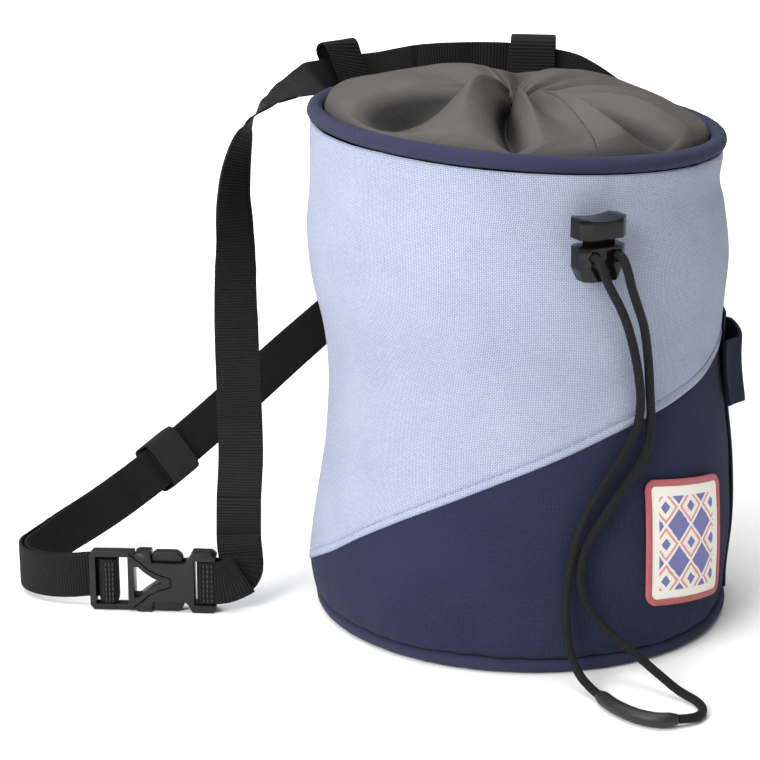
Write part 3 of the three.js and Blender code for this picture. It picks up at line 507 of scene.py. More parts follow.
# %% Plastics, cord and thread
def moulded(name, colour, roughness, grain, shine=0.4):
    w = Wiring(name, roughness, specular=shine)
    place = w.object_place()
    fine = w.noise(place, 2600, 2.0)
    wear = w.noise(place, 160, 3.0)
    tint = w.mix(w.scaled(wear, 0.0, 1.0), srgb(*colour), srgb(*[min(c + 16, 255) for c in colour]))
    rough = w.scaled(wear, roughness - 0.06, roughness + 0.08)
    return w.finish(tint, w.bump(fine, grain * MM), rough)


buckle_plastic = moulded("satin buckle plastic", (13, 13, 14), 0.36, 0.012, 0.3)
lock_plastic = moulded("glossy lock plastic", (3, 3, 3), 0.15, 0.001, 0.25)


def braid(name, strands, pitch):
    w = Wiring(name, 0.75, 0.0, specular=0.25)
    along, around, place = w.flat_place()
    turn = w.math("DIVIDE", around, pitch * MM)
    run = w.math("DIVIDE", along, pitch * MM)
    left, right = w.math("ADD", run, turn), w.math("SUBTRACT", run, turn)
    height, on_top = plain_weave(w, left, right, 1.0, 1.0)
    # The dips between strands run to near black: painted shade.
    share = w.math("MULTIPLY", height, w.scaled(w.noise(place, 2000, 1.0), 0.5, 1.2))
    colour = w.mix(w.math("MINIMUM", share, 1.0), srgb(6, 6, 7), srgb(*strands))
    return w.finish(colour, w.bump(height, 0.25 * MM))


cord_braid = braid("black braid", (22, 22, 24), math.pi * 2.8 / 8)
keeper_elastic = braid("keeper elastic", (46, 46, 47), 0.62)
sleeve_rubber = moulded("sleeve rubber", (20, 20, 22), 0.5, 0.02)
seam_thread = binding_tape("seam thread", (176, 184, 214), (92, 100, 140), 0.3)
grey_thread = binding_tape("grey thread", (92, 90, 87), (34, 33, 33), 0.3)

# %% [markdown]
# ## Cords
# Two round cords come out of the lock's front, hang down the wall, fall to the floor and meet in a sleeve. They
# are limp, so they follow the wall, and they come first because everything else has to leave them room.

# %% Cords
right_cord_points = [
    (0.0253, -0.0704, 0.1366), (0.0272, -0.0736, 0.1361), (0.0287, -0.0754, 0.1326), (0.0300, -0.0738, 0.1275),
    (0.0319, -0.0698, 0.1215), (0.0346, -0.0646, 0.1125), (0.0363, -0.0603, 0.1019), (0.0374, -0.0576, 0.0902),
    (0.0380, -0.0566, 0.0803), (0.0370, -0.0577, 0.0721), (0.0334, -0.0605, 0.0652), (0.0283, -0.0638, 0.0584),
    (0.0229, -0.0668, 0.0506), (0.0186, -0.0690, 0.0430), (0.0171, -0.0703, 0.0360), (0.0178, -0.0716, 0.0293),
    (0.0210, -0.0730, 0.0226), (0.0269, -0.0746, 0.0170), (0.0343, -0.0772, 0.0116), (0.0413, -0.0804, 0.0066),
    (0.0480, -0.0846, 0.0026), (0.0526, -0.0890, 0.0016), (0.0544, -0.0942, 0.0015), (0.0534, -0.0993, 0.0016),
    (0.0504, -0.1026, 0.0020), (0.0466, -0.1042, 0.0023),
]
left_cord_points = [
    (0.0184, -0.0746, 0.1366), (0.0201, -0.0774, 0.1361), (0.0216, -0.0786, 0.1326), (0.0238, -0.0756, 0.1272),
    (0.0269, -0.0712, 0.1206), (0.0296, -0.0672, 0.1134), (0.0321, -0.0634, 0.1040), (0.0338, -0.0606, 0.0950),
    (0.0346, -0.0590, 0.0870), (0.0338, -0.0592, 0.0796), (0.0302, -0.0616, 0.0720), (0.0239, -0.0652, 0.0628),
    (0.0180, -0.0682, 0.0523), (0.0148, -0.0702, 0.0417), (0.0132, -0.0718, 0.0307), (0.0132, -0.0740, 0.0198),
    (0.0146, -0.0770, 0.0110), (0.0176, -0.0804, 0.0052), (0.0210, -0.0846, 0.0028), (0.0232, -0.0884, 0.0024),
]
sleeve_points = [
    (0.0234, -0.0887, 0.0024), (0.0284, -0.0970, 0.00235), (0.0350, -0.1032, 0.00235), (0.0410, -0.1053, 0.00235),
    (0.0463, -0.1043, 0.00235),
]
CORD_THICK = 2.8
SLEEVE_THICK = 4.6


def laid_line(points, spacing):
    return smooth_line([from_laid(*(v / MM for v in p)) for p in points], spacing)


sleeve_line = laid_line(sleeve_points, 0.8)
sleeve_run = lengths_along(sleeve_line)
sleeve_stations = cord_stations(sleeve_line)


def sleeve_section(k):
    """The sleeve tapers at both ends."""
    from_end = min(sleeve_run[k], sleeve_run[-1] - sleeve_run[k])
    return 1 - 0.28 * bell(from_end / 1.6)


sleeve_stations = [(m, a * sleeve_section(k), b * sleeve_section(k))
                   for k, (m, a, b) in enumerate(sleeve_stations)]
cord_end_sleeve = piece("cord_end_sleeve", sweep(sleeve_stations, round_section(SLEEVE_THICK), 24), sleeve_rubber,
                        ["cord_sleeve"])
cord_facts = {"cord_right": ("right_cord", right_cord_points), "cord_left": ("left_cord", left_cord_points)}
for node_name, (cord_name, points) in cord_facts.items():
    line = laid_line(points, 0.8)
    made = piece(cord_name, sweep(cord_stations(line), round_section(CORD_THICK), 16), cord_braid,
                 [node_name])

# %% [markdown]
# ## The wall
# The wall is a drum that bulges at its foot and under the rim and is a little narrow between them. Cloth never
# hangs quite even, so a slow noise swells it by half a millimetre, and small puckers gather where it is sewn to
# the piping. The upper front overlaps the lower one, with its edge turned under and stitched down.

# %% Wall cloth
WALL_FOOT = BASE_PIPING + 0.3
WALL_HEAD = BAG_HEIGHT - RIM_PIPING - 0.3


def cloth_relief(turn, z):
    around = math.radians(turn) * RIM_RADIUS
    broad = noise.noise(Vector((around / 34, z / 40, 3.1))) * 0.7
    slow = noise.noise(Vector((around / 13, z / 20, 7.7))) * 0.25
    foot = noise.noise(Vector((around / 5.5, z / 16, 1.3))) * 0.9 * math.exp(-max(z - WALL_FOOT, 0) / 7)
    head = noise.noise(Vector((around / 7.0, z / 16, 5.9))) * 0.5 * math.exp(-max(WALL_HEAD - z, 0) / 6)
    return broad + slow + foot + head


def tucked(z):
    """The cloth turns in where it meets the piping."""
    return -1.1 * math.exp(-max(z - WALL_FOOT, 0) / 1.2) - 0.9 * math.exp(-max(WALL_HEAD - z, 0) / 1.2)


def seam_lift(above):
    """The overlap stands up at its edge and is drawn in along its stitches."""
    if above < 0:
        return 0.0
    return 0.75 * math.exp(-above / 3.5) - 0.35 * bell((above - 3.0) / 0.7) - 0.5 * math.exp(-above / 0.35)


def wall_cloth(name, start, end, foot, head, columns, rows, material, node_name, lift=None):
    def spot(s, t):
        turn = start + (end - start) * s
        low, high = foot(turn), head(turn)
        return turn, low + (high - low) * t

    def place(s, t):
        turn, z = spot(s, t)
        out = cloth_relief(turn, z) + tucked(z) + (lift(turn, z) if lift else 0.0)
        return wall_point(turn, z, out)

    def flat(s, t):
        turn, z = spot(s, t)
        return math.radians(turn) * RIM_RADIUS, z

    made = piece(name, bent_grid(columns, rows, place, flat), material, [node_name])
    return give_thickness(made, WALL_THICK - 0.5)


wall_cloth("upper_front_cloth", -124, 64, seam_up, lambda turn: WALL_HEAD, 240, 130, light_cloth,
           "front_upper_panel", lambda turn, z: seam_lift(z - seam_up(turn)))
wall_cloth("lower_front_cloth", -124, 64, lambda turn: WALL_FOOT, lambda turn: seam_up(turn) + 0.2, 240, 80,
           navy_cloth, "front_lower_panel")
wall_cloth("back_cloth", 64.3, 235.7, lambda turn: WALL_FOOT, lambda turn: WALL_HEAD, 200, 130, navy_cloth,
           "back_panel")

# %% [markdown]
# ## Piping and base
# Piping is a cord in a folded tape. Its tape is eased round the rim, so it dimples a little. The base is a round
# of the same canvas that lies flat.

# %% Piping and base
def piping(name, radius, z, thick, node_name):
    stations = []
    for k in range(360):
        ease = 1 + 0.05 * noise.noise(Vector((k / 3.1, z, 0.5)))
        out = outward(k)
        stations.append((drum_point(k, radius, z), out * ease, Vector((0, 0, 1)) * ease))
    return piece(name, sweep(stations, round_section(thick), 20, closed=True), piping_tape,
                 [node_name])


base_ring = RIM_RADIUS * wall_profile[0][1] - BASE_PIPING / 2
piping("base_cord_piping", base_ring, BASE_PIPING / 2, BASE_PIPING - 0.1, "base_piping")
piping("rim_cord_piping", RIM_RADIUS - RIM_PIPING / 2, BAG_HEIGHT - RIM_PIPING / 2, RIM_PIPING, "rim_piping")

base = bmesh.new()
base_flat = base.loops.layers.uv.new("UVMap")
base_radius = (base_ring - BASE_PIPING / 2 - 0.3) * MM
bmesh.ops.create_circle(base, cap_ends=True, segments=96, radius=base_radius)
for ring_width in (0.002, 0.010, 0.014, 0.016):
    middle_face = [f for f in base.faces if len(f.verts) > 4]
    bmesh.ops.inset_region(base, faces=middle_face, thickness=ring_width, use_boundary=True)
for v in base.verts:
    v.co.z = 0.0004 * (1 + noise.noise(v.co * 60)) * min((base_radius - v.co.xy.length) / 0.004, 1)
for face in base.faces:
    face.smooth = True
    for loop in face.loops:
        loop[base_flat].uv = loop.vert.co.xy
bmesh.ops.reverse_faces(base, faces=base.faces)
bmesh.ops.translate(base, verts=base.verts, vec=drum_middle(0) * MM + Vector((0, 0, 0.0002)))
give_thickness(piece("base_cloth", base, navy_cloth, ["base_panel"]), 1.6)

# %% [markdown]
# ## Collar
# The collar is a tube of thin nylon, drawn shut by its cord. Its folds run from the rim to the pinch. Each fold is
# a ridge or a valley along a line from a turn at the hem to a turn at the pinch, and the sum of them all is the
# gathered cloth. Near the pinch many small pleats crowd together. Spots deep in the folds get painted shade.

# %% Collar
COLLAR_THICK = 0.5
PINCH_HOLE = 3.2
# inward share and rise in rim radii
collar_profile = [
    (0.000, -0.096), (0.004, -0.020), (0.050, 0.040), (0.180, 0.082), (0.340, 0.112), (0.520, 0.128),
    (0.700, 0.128), (0.860, 0.105), (1.000, 0.060),
]
# turn at the rim, turn at the pinch, spread, rise, inward share where it is highest, its length and sharpness
collar_folds = [
    (-122, -112, 15, 0.020, 0.45, 0.40, 2.0), (-104, -98, 13, 0.018, 0.55, 0.30, 1.4),
    (-92, -96, 8, 0.012, 0.08, 0.14, 1.2), (-68, -80, 15, -0.170, 0.36, 0.30, 1.8),
    (-38, -58, 11, 0.110, 0.58, 0.50, 1.5), (-24, -34, 5.0, -0.160, 0.50, 0.56, 1.3),
    (-16, -20, 5, 0.070, 0.58, 0.46, 1.3), (-5, -12, 6, -0.060, 0.66, 0.34, 1.5),
    (11, -4, 7.5, 0.110, 0.40, 0.46, 1.2), (25, 10, 9.0, -0.195, 0.46, 0.44, 1.4),
    (42, 38, 6, 0.060, 0.34, 0.36, 1.2), (58, 76, 20, 0.040, 0.44, 0.40, 2.0),
    (66, 70, 22, -0.022, 0.08, 0.14, 2.0), (88, 92, 8, -0.070, 0.60, 0.42, 1.3),
    (122, 116, 22, 0.045, 0.50, 0.46, 1.7), (158, 152, 8, -0.060, 0.60, 0.42, 1.3),
    (-174, -162, 18, 0.045, 0.70, 0.32, 1.8), (-144, -126, 10, -0.085, 0.62, 0.36, 1.3),
]
hem_radius = RIM_RADIUS - RIM_PIPING - 0.3
rim_middle = drum_middle(BAG_HEIGHT)
pinch = rim_middle + Vector((-2.0, -2.5, 0))


def pleats(turn, inward):
    """Small sharp pleats that crowd towards the pinch."""
    total = 0.0
    for count, start, size in ((17, 0.3, 0.020), (29, 1.7, 0.011)):
        phase = math.radians(turn) * count + start + 2.2 * noise.noise(Vector((turn / 40, inward * 2, start)))
        total += size * (abs(math.sin(phase / 2)) - 0.6)
    return total * inward ** 1.6


def collar_rise(turn, inward):
    rise = blend(collar_profile, 1, inward)
    start = min(inward / 0.05, 1)
    for rim_turn, pinch_turn, spread, high, middle, long, sharpness in collar_folds:
        side = turn_between(turn, rim_turn + (pinch_turn - rim_turn) * inward) / spread
        rise += high * math.exp(-abs(side) ** sharpness) * bell((inward - middle) / long) * start
    crumple = 0.012 * noise.noise(Vector((math.radians(turn) * 4, inward * 7, 2.2)))
    return rise + (pleats(turn, inward) + crumple * inward) * start


def collar_fold_shade(s, t):
    """Painted shade for the folds: how deep a spot lies under the plain dome, kept at each corner for the nylon to
    darken by.
    """
    inward = t ** 1.15
    below = blend(collar_profile, 1, inward) - collar_rise(360 * s, inward)
    return min(max((below - 0.010) / 0.055, 0.0), 1.0) * 0.93


def collar_place(s, t):
    turn = 360 * s
    inward = t ** 1.15
    z = BAG_HEIGHT + RIM_RADIUS * collar_rise(turn, inward)
    radius = hem_radius + (PINCH_HOLE - hem_radius) * inward
    spot = drum_point(turn, radius, z) - drum_middle(z)
    return spot + rim_middle + (pinch - rim_middle) * inward


def collar_flat(s, t):
    return 2 * math.pi * s * hem_radius * (1 - 0.35 * t), 62 * t


collar = piece("collar_cloth", bent_grid(480, 110, collar_place, collar_flat, collar_fold_shade), collar_nylon,
               ["collar"])
give_thickness(collar, COLLAR_THICK).modifiers["wall"].use_even_offset = False

# %% [markdown]
# ## Webbing
# The belt's way is read back from the plain belt: its solid is a chain of four-cornered sections, and each step
# along the chain is the next four corners. The new belt follows the same line with soft edges.

# %% Reading a plain band
def band_stations(node_name, spacing):
    """Middle, edge way and face way at each step along a plain band."""
    copy = bmesh.new()
    copy.from_mesh(nodes[node_name].data)
    bmesh.ops.remove_doubles(copy, verts=copy.verts, dist=2e-6)

    def beyond(group):
        return {e.other_vert(v) for v in group for e in v.link_edges} - group

    pairs = ({v for f in e.link_faces for v in f.verts} for e in copy.edges)
    layer = next(group for group in pairs if len(beyond(group)) == 4)
    first = next(iter(layer))
    near, middle, _ = sorted((v for v in layer if v is not first), key=lambda v: (v.co - first.co).length)
    edge_way, face_way = (middle.co - first.co).normalized(), (near.co - first.co).normalized()
    seen, sections = set(), []
    while layer:
        centre = sum((v.co for v in layer), Vector()) / len(layer)
        edge_way = sum(((v.co - centre) * math.copysign(1, (v.co - centre).dot(edge_way)) for v in layer), Vector())
        edge_way.normalize()
        face_way = sum(((v.co - centre) * math.copysign(1, (v.co - centre).dot(face_way)) for v in layer), Vector())
        face_way = (face_way - edge_way * face_way.dot(edge_way)).normalized()
        sections.append((centre / MM, edge_way.copy(), face_way.copy()))
        seen |= layer
        layer = beyond(layer) - seen
    copy.free()
    stations = []
    for spot, place in smooth_steps([s[0] for s in sections], spacing):
        k = min(int(place), len(sections) - 2)
        edge = sections[k][1].lerp(sections[k + 1][1], place - k).normalized()
        face = sections[k][2].lerp(sections[k + 1][2], place - k)
        stations.append((spot, edge, (face - edge * face.dot(edge)).normalized()))
    return eased(stations, 6)


def eased(stations, rounds):
    """The ways are averaged with their neighbours', so that a band turns evenly."""
    for _ in range(rounds):
        turned = stations[:1]
        for before, here, after in zip(stations, stations[1:], stations[2:]):
            edge = (before[1] + here[1] * 2 + after[1]).normalized()
            face = before[2] + here[2] * 2 + after[2]
            turned.append((here[0], edge, (face - edge * face.dot(edge)).normalized()))
        stations = turned + stations[-1:]
    return stations


# %% [markdown]
# ## Belt and its loops
# The belt is one closed length of webbing. Its half-turns, the bends round the buckle's bars and the doubled
# stretch are all in its line, so one sweep makes it. The upright loops at the rim are short bands of their own.

# %% Belt and its loops
belt_line = band_stations("belt_webbing", 1.2)[2:]
piece("belt", sweep(belt_line, band_section(15, 1.3), 28), belt_stuff, ["belt_webbing"])
print("belt", round(lengths_along([s[0] for s in belt_line])[-1]), "mm long")
for side in ("left", "right"):
    piece(f"rim_loop_{side}", sweep(band_stations(f"belt_loop_{side}", 1.0), band_section(15.5, 1.3), 28),
          loop_stuff, [f"belt_loop_{side}"])

# %% [markdown]
# ## Keeper
# A short loop of elastic holds the belt's two layers together. It is a band that goes round them, so here the
# section runs along the belt and the way goes round it.

# %% Keeper
KEEPER_LONG = 12
keeper_low, keeper_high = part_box("belt_keeper")
keeper_middle = (Vector(keeper_low) + Vector(keeper_high)) / 2 / MM
nearest = min(range(1, len(belt_line) - 1), key=lambda k: (belt_line[k][0] - keeper_middle).length)
along = (belt_line[nearest + 1][0] - belt_line[nearest - 1][0]).normalized()
_, keeper_edge, keeper_face = belt_line[nearest]
held = [spot - keeper_middle for spot, _, _ in belt_line]
held = [away.dot(keeper_face) for away in held if away.length < 12 and abs(away.dot(along)) < KEEPER_LONG / 2]
keeper_middle = keeper_middle + keeper_face * (min(held) + max(held)) / 2
print("keeper holds layers", round(max(held) - min(held), 1), "mm apart")
round_the_belt = band_section(17.8, 6.2, 0.42)
keeper_stations = []
for k in range(72):
    a, b = round_the_belt(k / 72)
    middle = keeper_middle + keeper_edge * a + keeper_face * b
    before, after = (round_the_belt((k + step) / 72) for step in (-0.5, 0.5))
    way = (keeper_edge * (after[0] - before[0]) + keeper_face * (after[1] - before[1])).normalized()
    keeper_stations.append((middle, along, way.cross(along)))
piece("elastic_keeper", sweep(keeper_stations, band_section(KEEPER_LONG, 1.15), 24, closed=True), keeper_elastic,
      ["belt_keeper"])

# %% [markdown]
# ## Side strip and brush loop
# A dark strip is sewn up the side, and a band bulges from it to hold a brush by its handle. Both follow the wall,
# and the loop's two ends lie flat where they are sewn down.

# %% Side strip and brush loop
STRIP_TURN, STRIP_HALF = 75, math.degrees(15 / RIM_RADIUS)
STRIP_FOOT, STRIP_HEAD = 5.5, 102
STRIP_OUT = 0.45 + 0.9
BRUSH_TURN, BRUSH_SPAN, BRUSH_MIDDLE, BRUSH_WIDE, BRUSH_BULGE = 70.5, 31, 84, 22.5, 4.2


def strip_place(s, t):
    rounded = 0.5 * (bell((s - 0) / 0.03) + bell((s - 1) / 0.03))
    turn, z = STRIP_TURN + STRIP_HALF * (2 * s - 1), STRIP_FOOT + (STRIP_HEAD - STRIP_FOOT) * t
    return wall_point(turn, z, STRIP_OUT - rounded)


strip = piece("side_strip_cloth", bent_grid(40, 90, strip_place, lambda s, t: (30 * s, 96.5 * t)), dark_cloth,
              ["side_strip"])
give_thickness(strip, 0.8)


def brush_place(s, t):
    turn = BRUSH_TURN + BRUSH_SPAN * (s - 0.5)
    bulge = BRUSH_BULGE * min(1, 2.2 * math.sin(math.pi * s) ** 1.5)
    return wall_point(turn, BRUSH_MIDDLE + BRUSH_WIDE * (t - 0.5), STRIP_OUT + 0.3 + 1.3 + bulge)


brush = piece("brush_holder", bent_grid(72, 24, brush_place, lambda s, t: (36 * s, 22.5 * t)), dark_cloth,
              ["brush_loop"])
give_thickness(brush, 1.2, 0.35)

# %% [markdown]
# ## Patch
# The patch is a cloth label with an overlocked edge: thick thread wound over the edge all the way round. Its face
# has a plain pattern of lozenges in pink and violet on cream.

# %% Patch
PATCH_WIDE, PATCH_TALL, PATCH_BORDER, CREAM_FRAME = 37.0, 41.5, 2.2, 3.0


def patch_point(a, b, out):
    z = 37.6 + b - a * math.tan(math.radians(9.7))
    turn = 25.2 + math.degrees((a - b * math.tan(math.radians(1.7))) / RIM_RADIUS)
    return wall_point(turn, z, out)


def overlock(name, top, under, pitch):
    w = Wiring(name, 0.6, 0.2, specular=0.4)
    along, around, place = w.flat_place()
    lean = w.math("MULTIPLY_ADD", around, 0.35, along)
    thread = w.math("ABSOLUTE", w.math("SINE", w.math("MULTIPLY", w.math("DIVIDE", lean, pitch * MM), math.pi)))
    # The grooves between the wound threads run to the under colour: painted shade.
    shade = w.math("MULTIPLY", w.math("POWER", thread, 0.6), w.scaled(w.noise(place, 700, 2.0), 0.65, 1.2))
    colour = w.mix(w.math("MINIMUM", shade, 1.0), srgb(*under), srgb(*top))
    return w.finish(colour, w.bump(thread, 0.25 * MM))


def lozenges():
    w = Wiring("patch cloth", 0.7, 0.2, specular=0.3)
    across, up, place = w.flat_place()
    wander = w.scaled(w.noise(place, 500, 1.0), -0.03, 0.03)

    def fold(value, pitch):
        part = w.math("FRACT", w.math("ADD", w.math("DIVIDE", value, pitch * MM), wander))
        return w.math("MULTIPLY", w.math("ABSOLUTE", w.math("SUBTRACT", part, 0.5)), 2.0)

    from_middle = w.math("ADD", fold(across, 11.4), fold(up, 12.2))
    diamond = w.math("GREATER_THAN", from_middle, 1.12)
    ring = w.math("MULTIPLY", w.math("LESS_THAN", from_middle, 0.92), w.math("GREATER_THAN", from_middle, 0.72))
    dot = w.math("LESS_THAN", from_middle, 0.34)
    cream, violet, pink = srgb(252, 249, 236), srgb(112, 114, 178), srgb(236, 158, 150)
    wide, tall = (size - 2 * PATCH_BORDER for size in (PATCH_WIDE, PATCH_TALL))
    side = w.math("LESS_THAN", w.math("ABSOLUTE", w.math("SUBTRACT", across, wide / 2 * MM)),
                  (wide / 2 - CREAM_FRAME) * MM)
    head = w.math("LESS_THAN", w.math("ABSOLUTE", w.math("SUBTRACT", up, tall / 2 * MM)),
                  (tall / 2 - CREAM_FRAME) * MM)
    field = w.math("MULTIPLY", side, head)
    diamond, ring, dot = (w.math("MULTIPLY", field, shape) for shape in (diamond, ring, dot))
    colour = w.mix(diamond, cream, violet)
    colour = w.mix(ring, colour, pink)
    colour = w.mix(dot, colour, violet)
    height, on_top = plain_weave(w, across, up, 0.32 * MM, 0.32 * MM)
    # Colour turns a greyer mauve where the weave dips: painted shade.
    shade = w.mix(w.math("MULTIPLY_ADD", height, -0.35, 0.35), colour, srgb(120, 110, 118))
    sewn = w.math("MAXIMUM", diamond, w.math("MAXIMUM", ring, dot))
    raised = w.math("MULTIPLY_ADD", sewn, 0.8, w.math("MULTIPLY", height, 0.3))
    return w.finish(shade, w.bump(raised, 0.15 * MM))


patch_thread = overlock("patch edge thread", (208, 102, 106), (130, 44, 54), 0.62)


def outline(wide, tall, corner, count):
    """Points round a rounded rectangle, evenly spaced, with the way out at each."""
    straight = [(wide - 2 * corner), (tall - 2 * corner)]
    total = 2 * sum(straight) + 2 * math.pi * corner
    points = []
    for k in range(count):
        left = total * k / count
        for quarter in range(4):
            side = straight[(quarter + 1) % 2]
            turn = math.pi / 2 * quarter
            centre = [(wide / 2 - corner) * (1, -1, -1, 1)[quarter], (tall / 2 - corner) * (1, 1, -1, -1)[quarter]]
            if left < side:
                back = side - left
                way = (math.cos(turn), math.sin(turn))
                points.append((centre[0] + way[0] * corner + way[1] * back,
                               centre[1] + way[1] * corner - way[0] * back, way))
                break
            left -= side
            arc = math.pi / 2 * corner
            if left < arc:
                angle = turn + left / corner
                way = (math.cos(angle), math.sin(angle))
                points.append((centre[0] + way[0] * corner, centre[1] + way[1] * corner, way))
                break
            left -= arc
    return points


edge_stations = []
for a, b, way in outline(PATCH_WIDE - PATCH_BORDER, PATCH_TALL - PATCH_BORDER, 3, 260):
    here = patch_point(a, b, 1.1)
    out_way = (patch_point(a + way[0] * 0.1, b + way[1] * 0.1, 1.1) - here).normalized()
    up_way = (patch_point(a, b, 1.6) - here).normalized()
    edge_stations.append((here, out_way, up_way))
piece("patch_edge", sweep(edge_stations, band_section(PATCH_BORDER, 1.3, 0.7), 18, closed=True), patch_thread,
      ["patch_border"])
face_wide, face_tall = PATCH_WIDE - 2 * PATCH_BORDER + 0.6, PATCH_TALL - 2 * PATCH_BORDER + 0.6


def patch_place(s, t):
    a, b = face_wide * (s - 0.5), face_tall * (t - 0.5)
    return patch_point(a, b, 1.35 + 0.15 * noise.noise(Vector((a / 7, b / 7, 0.4))))


patch = piece("patch_label", bent_grid(60, 64, patch_place, lambda s, t: (face_wide * s, face_tall * t)),
              lozenges(), ["patch_face"])
give_thickness(patch, 0.8)

# %% [markdown]
# ## Hard plastic
# The buckle and the lock have the right shapes already, but their edges are knife sharp. A copy is merged, its
# flat faces are joined again, and its sharp edges get a small bevel, which catches the light as a moulding does.

# %% Buckle and lock
def eased_copy(node_name, name, bevel, material, body="bag"):
    mesh = bmesh.new()
    mesh.from_mesh(nodes[node_name].data)
    bmesh.ops.remove_doubles(mesh, verts=mesh.verts, dist=1e-6)
    bmesh.ops.dissolve_limit(mesh, angle_limit=math.radians(2), verts=mesh.verts, edges=mesh.edges)
    sharp = [e for e in mesh.edges if e.calc_face_angle(0) > math.radians(28)]
    bmesh.ops.bevel(mesh, geom=sharp, offset=bevel * MM, offset_type="OFFSET", segments=3, profile=0.5,
                    affect="EDGES", clamp_overlap=True, material=-1)
    for face in mesh.faces:
        face.smooth = True
    made = piece(name, mesh, material, [node_name], body)
    made.data.set_sharp_from_angle(angle=math.radians(32))
    return made


eased_copy("buckle_frame", "buckle_frame_half", 0.4, buckle_plastic)
eased_copy("buckle_socket", "buckle_socket_half", 0.4, buckle_plastic)
eased_copy("cord_lock_body", "lock_case", 0.45, lock_plastic)
eased_copy("cord_lock_button", "lock_button_cap", 0.4, lock_plastic, "lock_button")

# %% [markdown]
# ## Stitches
# A stitch is a short thread that dips into the cloth at both ends. One small ball is stretched for each, in a row
# that follows the seam a few millimetres above the edge.

# %% Stitches
def stitch_row(name, spots, long, thick, thread):
    """Stitches at (middle, along, outward) places."""
    mesh = bmesh.new()
    sheet = mesh.loops.layers.uv.new("UVMap")
    for middle, way, out in spots:
        side = way.cross(out)
        turned = Matrix((way * long / 2, side * thick / 2, out * thick / 2)).transposed() * MM
        placed = Matrix.Translation(middle * MM) @ turned.to_4x4()
        bmesh.ops.create_uvsphere(mesh, u_segments=8, v_segments=6, radius=1.0, matrix=placed @ Matrix.Rotation(
            math.pi / 2, 4, "Y"))
    for face in mesh.faces:
        face.smooth = True
        for loop in face.loops:
            loop[sheet].uv = (loop.vert.co.x, loop.vert.co.z)
    bmesh.ops.recalc_face_normals(mesh, faces=mesh.faces)
    return piece(name, mesh, thread)


def wall_row(line, pitch):
    """Places a stitch every `pitch` along a line of (turn, height) on the wall."""
    points = [wall_point(turn, z, cloth_relief(turn, z) + seam_lift(z - seam_up(turn)) + 0.15) for turn, z in line]
    run = lengths_along(points)
    spots = []
    for k in range(int(run[-1] / pitch)):
        at = (k + 0.5) * pitch
        i = next(n for n in range(len(run) - 1) if run[n + 1] >= at)
        middle = points[i].lerp(points[i + 1], (at - run[i]) / (run[i + 1] - run[i]))
        spots.append((middle, (points[i + 1] - points[i]).normalized(), outward(line[i][0])))
    return spots


seam_row = [(-123 + 186 * k / 400, seam_up(-123 + 186 * k / 400) + 3.0) for k in range(401)]
stitch_row("seam_stitches", wall_row(seam_row, 2.8), 2.3, 0.55, seam_thread)

# Rows across the webbing where it turns round the buckle's bars, as (along the buckle, in front of its middle).
bar_rows = [(38.5, 2.95), (39.8, 3.0), (41.2, 3.0), (5.7, 3.1), (6.9, 3.1), (8.0, 2.9)]
BUCKLE_LEFT, BUCKLE_BACK, BUCKLE_MIDDLE = -2.148 * RIM_RADIUS, -0.326 * RIM_RADIUS, 10.3
bar_spots = []
for along_buckle, in_front in bar_rows:
    for k in range(8):
        height = BUCKLE_MIDDLE - 6.1 + 1.75 * k
        bar_spots.append((from_laid(BUCKLE_LEFT + along_buckle, BUCKLE_BACK - in_front, height),
                          Vector((0, 0, 1)), from_laid(0, -1, 0)))
stitch_row("bar_stitches", bar_spots, 1.35, 0.42, grey_thread)

# %% [markdown]
# ## Floor and light
# A pale floor, which glows with painted light further from the bag, and large soft lights, as in a studio. The key
# light is on the left, in front and above.

# %% Floor and light
floor_mesh = bmesh.new()
bmesh.ops.create_grid(floor_mesh, x_segments=2, y_segments=2, size=6)
floor_data = bpy.data.meshes.new("floor")
floor_mesh.to_mesh(floor_data)
floor_mesh.free()
floor = bpy.data.objects.new("floor", floor_data)
floor.location.z = -0.0003
bpy.context.scene.collection.objects.link(floor)
floor_paint = Wiring("floor paint", 0.9, specular=0.1)
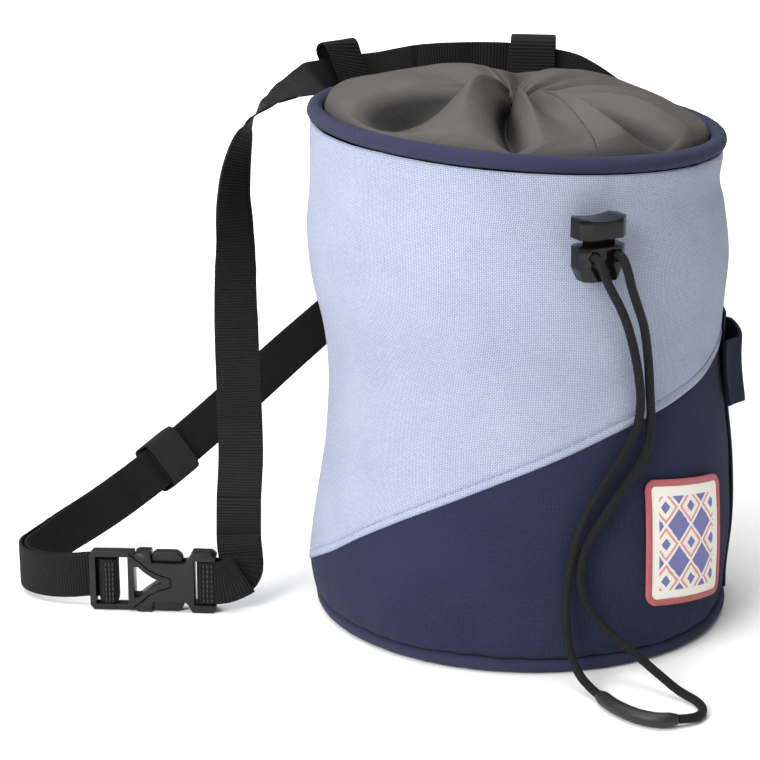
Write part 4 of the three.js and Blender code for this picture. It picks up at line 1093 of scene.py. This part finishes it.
# Painted light: the floor glows white, from nothing 0.3 m from the middle to 0.7 at 1.2 m, so that the far floor
# reads as a bright backdrop.
floor_spot = floor_paint.tree.nodes.new("ShaderNodeNewGeometry").outputs["Position"]
away = floor_paint.tree.nodes.new("ShaderNodeVectorMath")
away.operation = "LENGTH"
floor_paint.tree.links.new(floor_spot, away.inputs[0])
glow = floor_paint.tree.nodes.new("ShaderNodeMapRange")
glow.inputs["From Min"].default_value, glow.inputs["From Max"].default_value = 0.3, 1.2
glow.inputs["To Max"].default_value = 0.7
floor_paint.tree.links.new(away.outputs["Value"], glow.inputs["Value"])
floor_paint.tree.links.new(glow.outputs["Result"], floor_paint.shader.inputs["Emission Strength"])
floor_paint.shader.inputs["Emission Color"].default_value = (1, 1, 1, 1)
floor_data.materials.append(floor_paint.finish((0.9, 0.9, 0.9, 1)))


def soft_light(name, place, target, size, power, colour=(1, 1, 1)):
    data = bpy.data.lights.new(name, "AREA")
    data.shape = "RECTANGLE"
    data.size, data.size_y = size
    data.energy = power
    data.color = colour
    lamp = bpy.data.objects.new(name, data)
    lamp.location = place
    lamp.rotation_euler = (Vector(target) - Vector(place)).to_track_quat("-Z", "Y").to_euler()
    bpy.context.scene.collection.objects.link(lamp)


soft_light("key", (-1.7, -0.9, 1.2), (0, 0, 0.08), (1.2, 1.2), 57)
soft_light("fill", (0.6, -1.8, 0.8), (0, 0, 0.08), (1.4, 1.0), 2)
soft_light("top", (-0.2, 0.3, 1.8), (0, 0, 0.1), (1.6, 1.6), 40)
world = bpy.data.worlds.new("studio")
world.use_nodes = True
world.node_tree.nodes["Background"].inputs[0].default_value = (1, 1, 1, 1)
seen = world.node_tree.nodes.new("ShaderNodeLightPath").outputs["Is Camera Ray"]
strength = world.node_tree.nodes.new("ShaderNodeMapRange")
strength.inputs["To Min"].default_value = 0.26
world.node_tree.links.new(seen, strength.inputs["Value"])
world.node_tree.links.new(strength.outputs[0], world.node_tree.nodes["Background"].inputs[1])
bpy.context.scene.world = world
bpy.context.scene.view_settings.view_transform = "Standard"
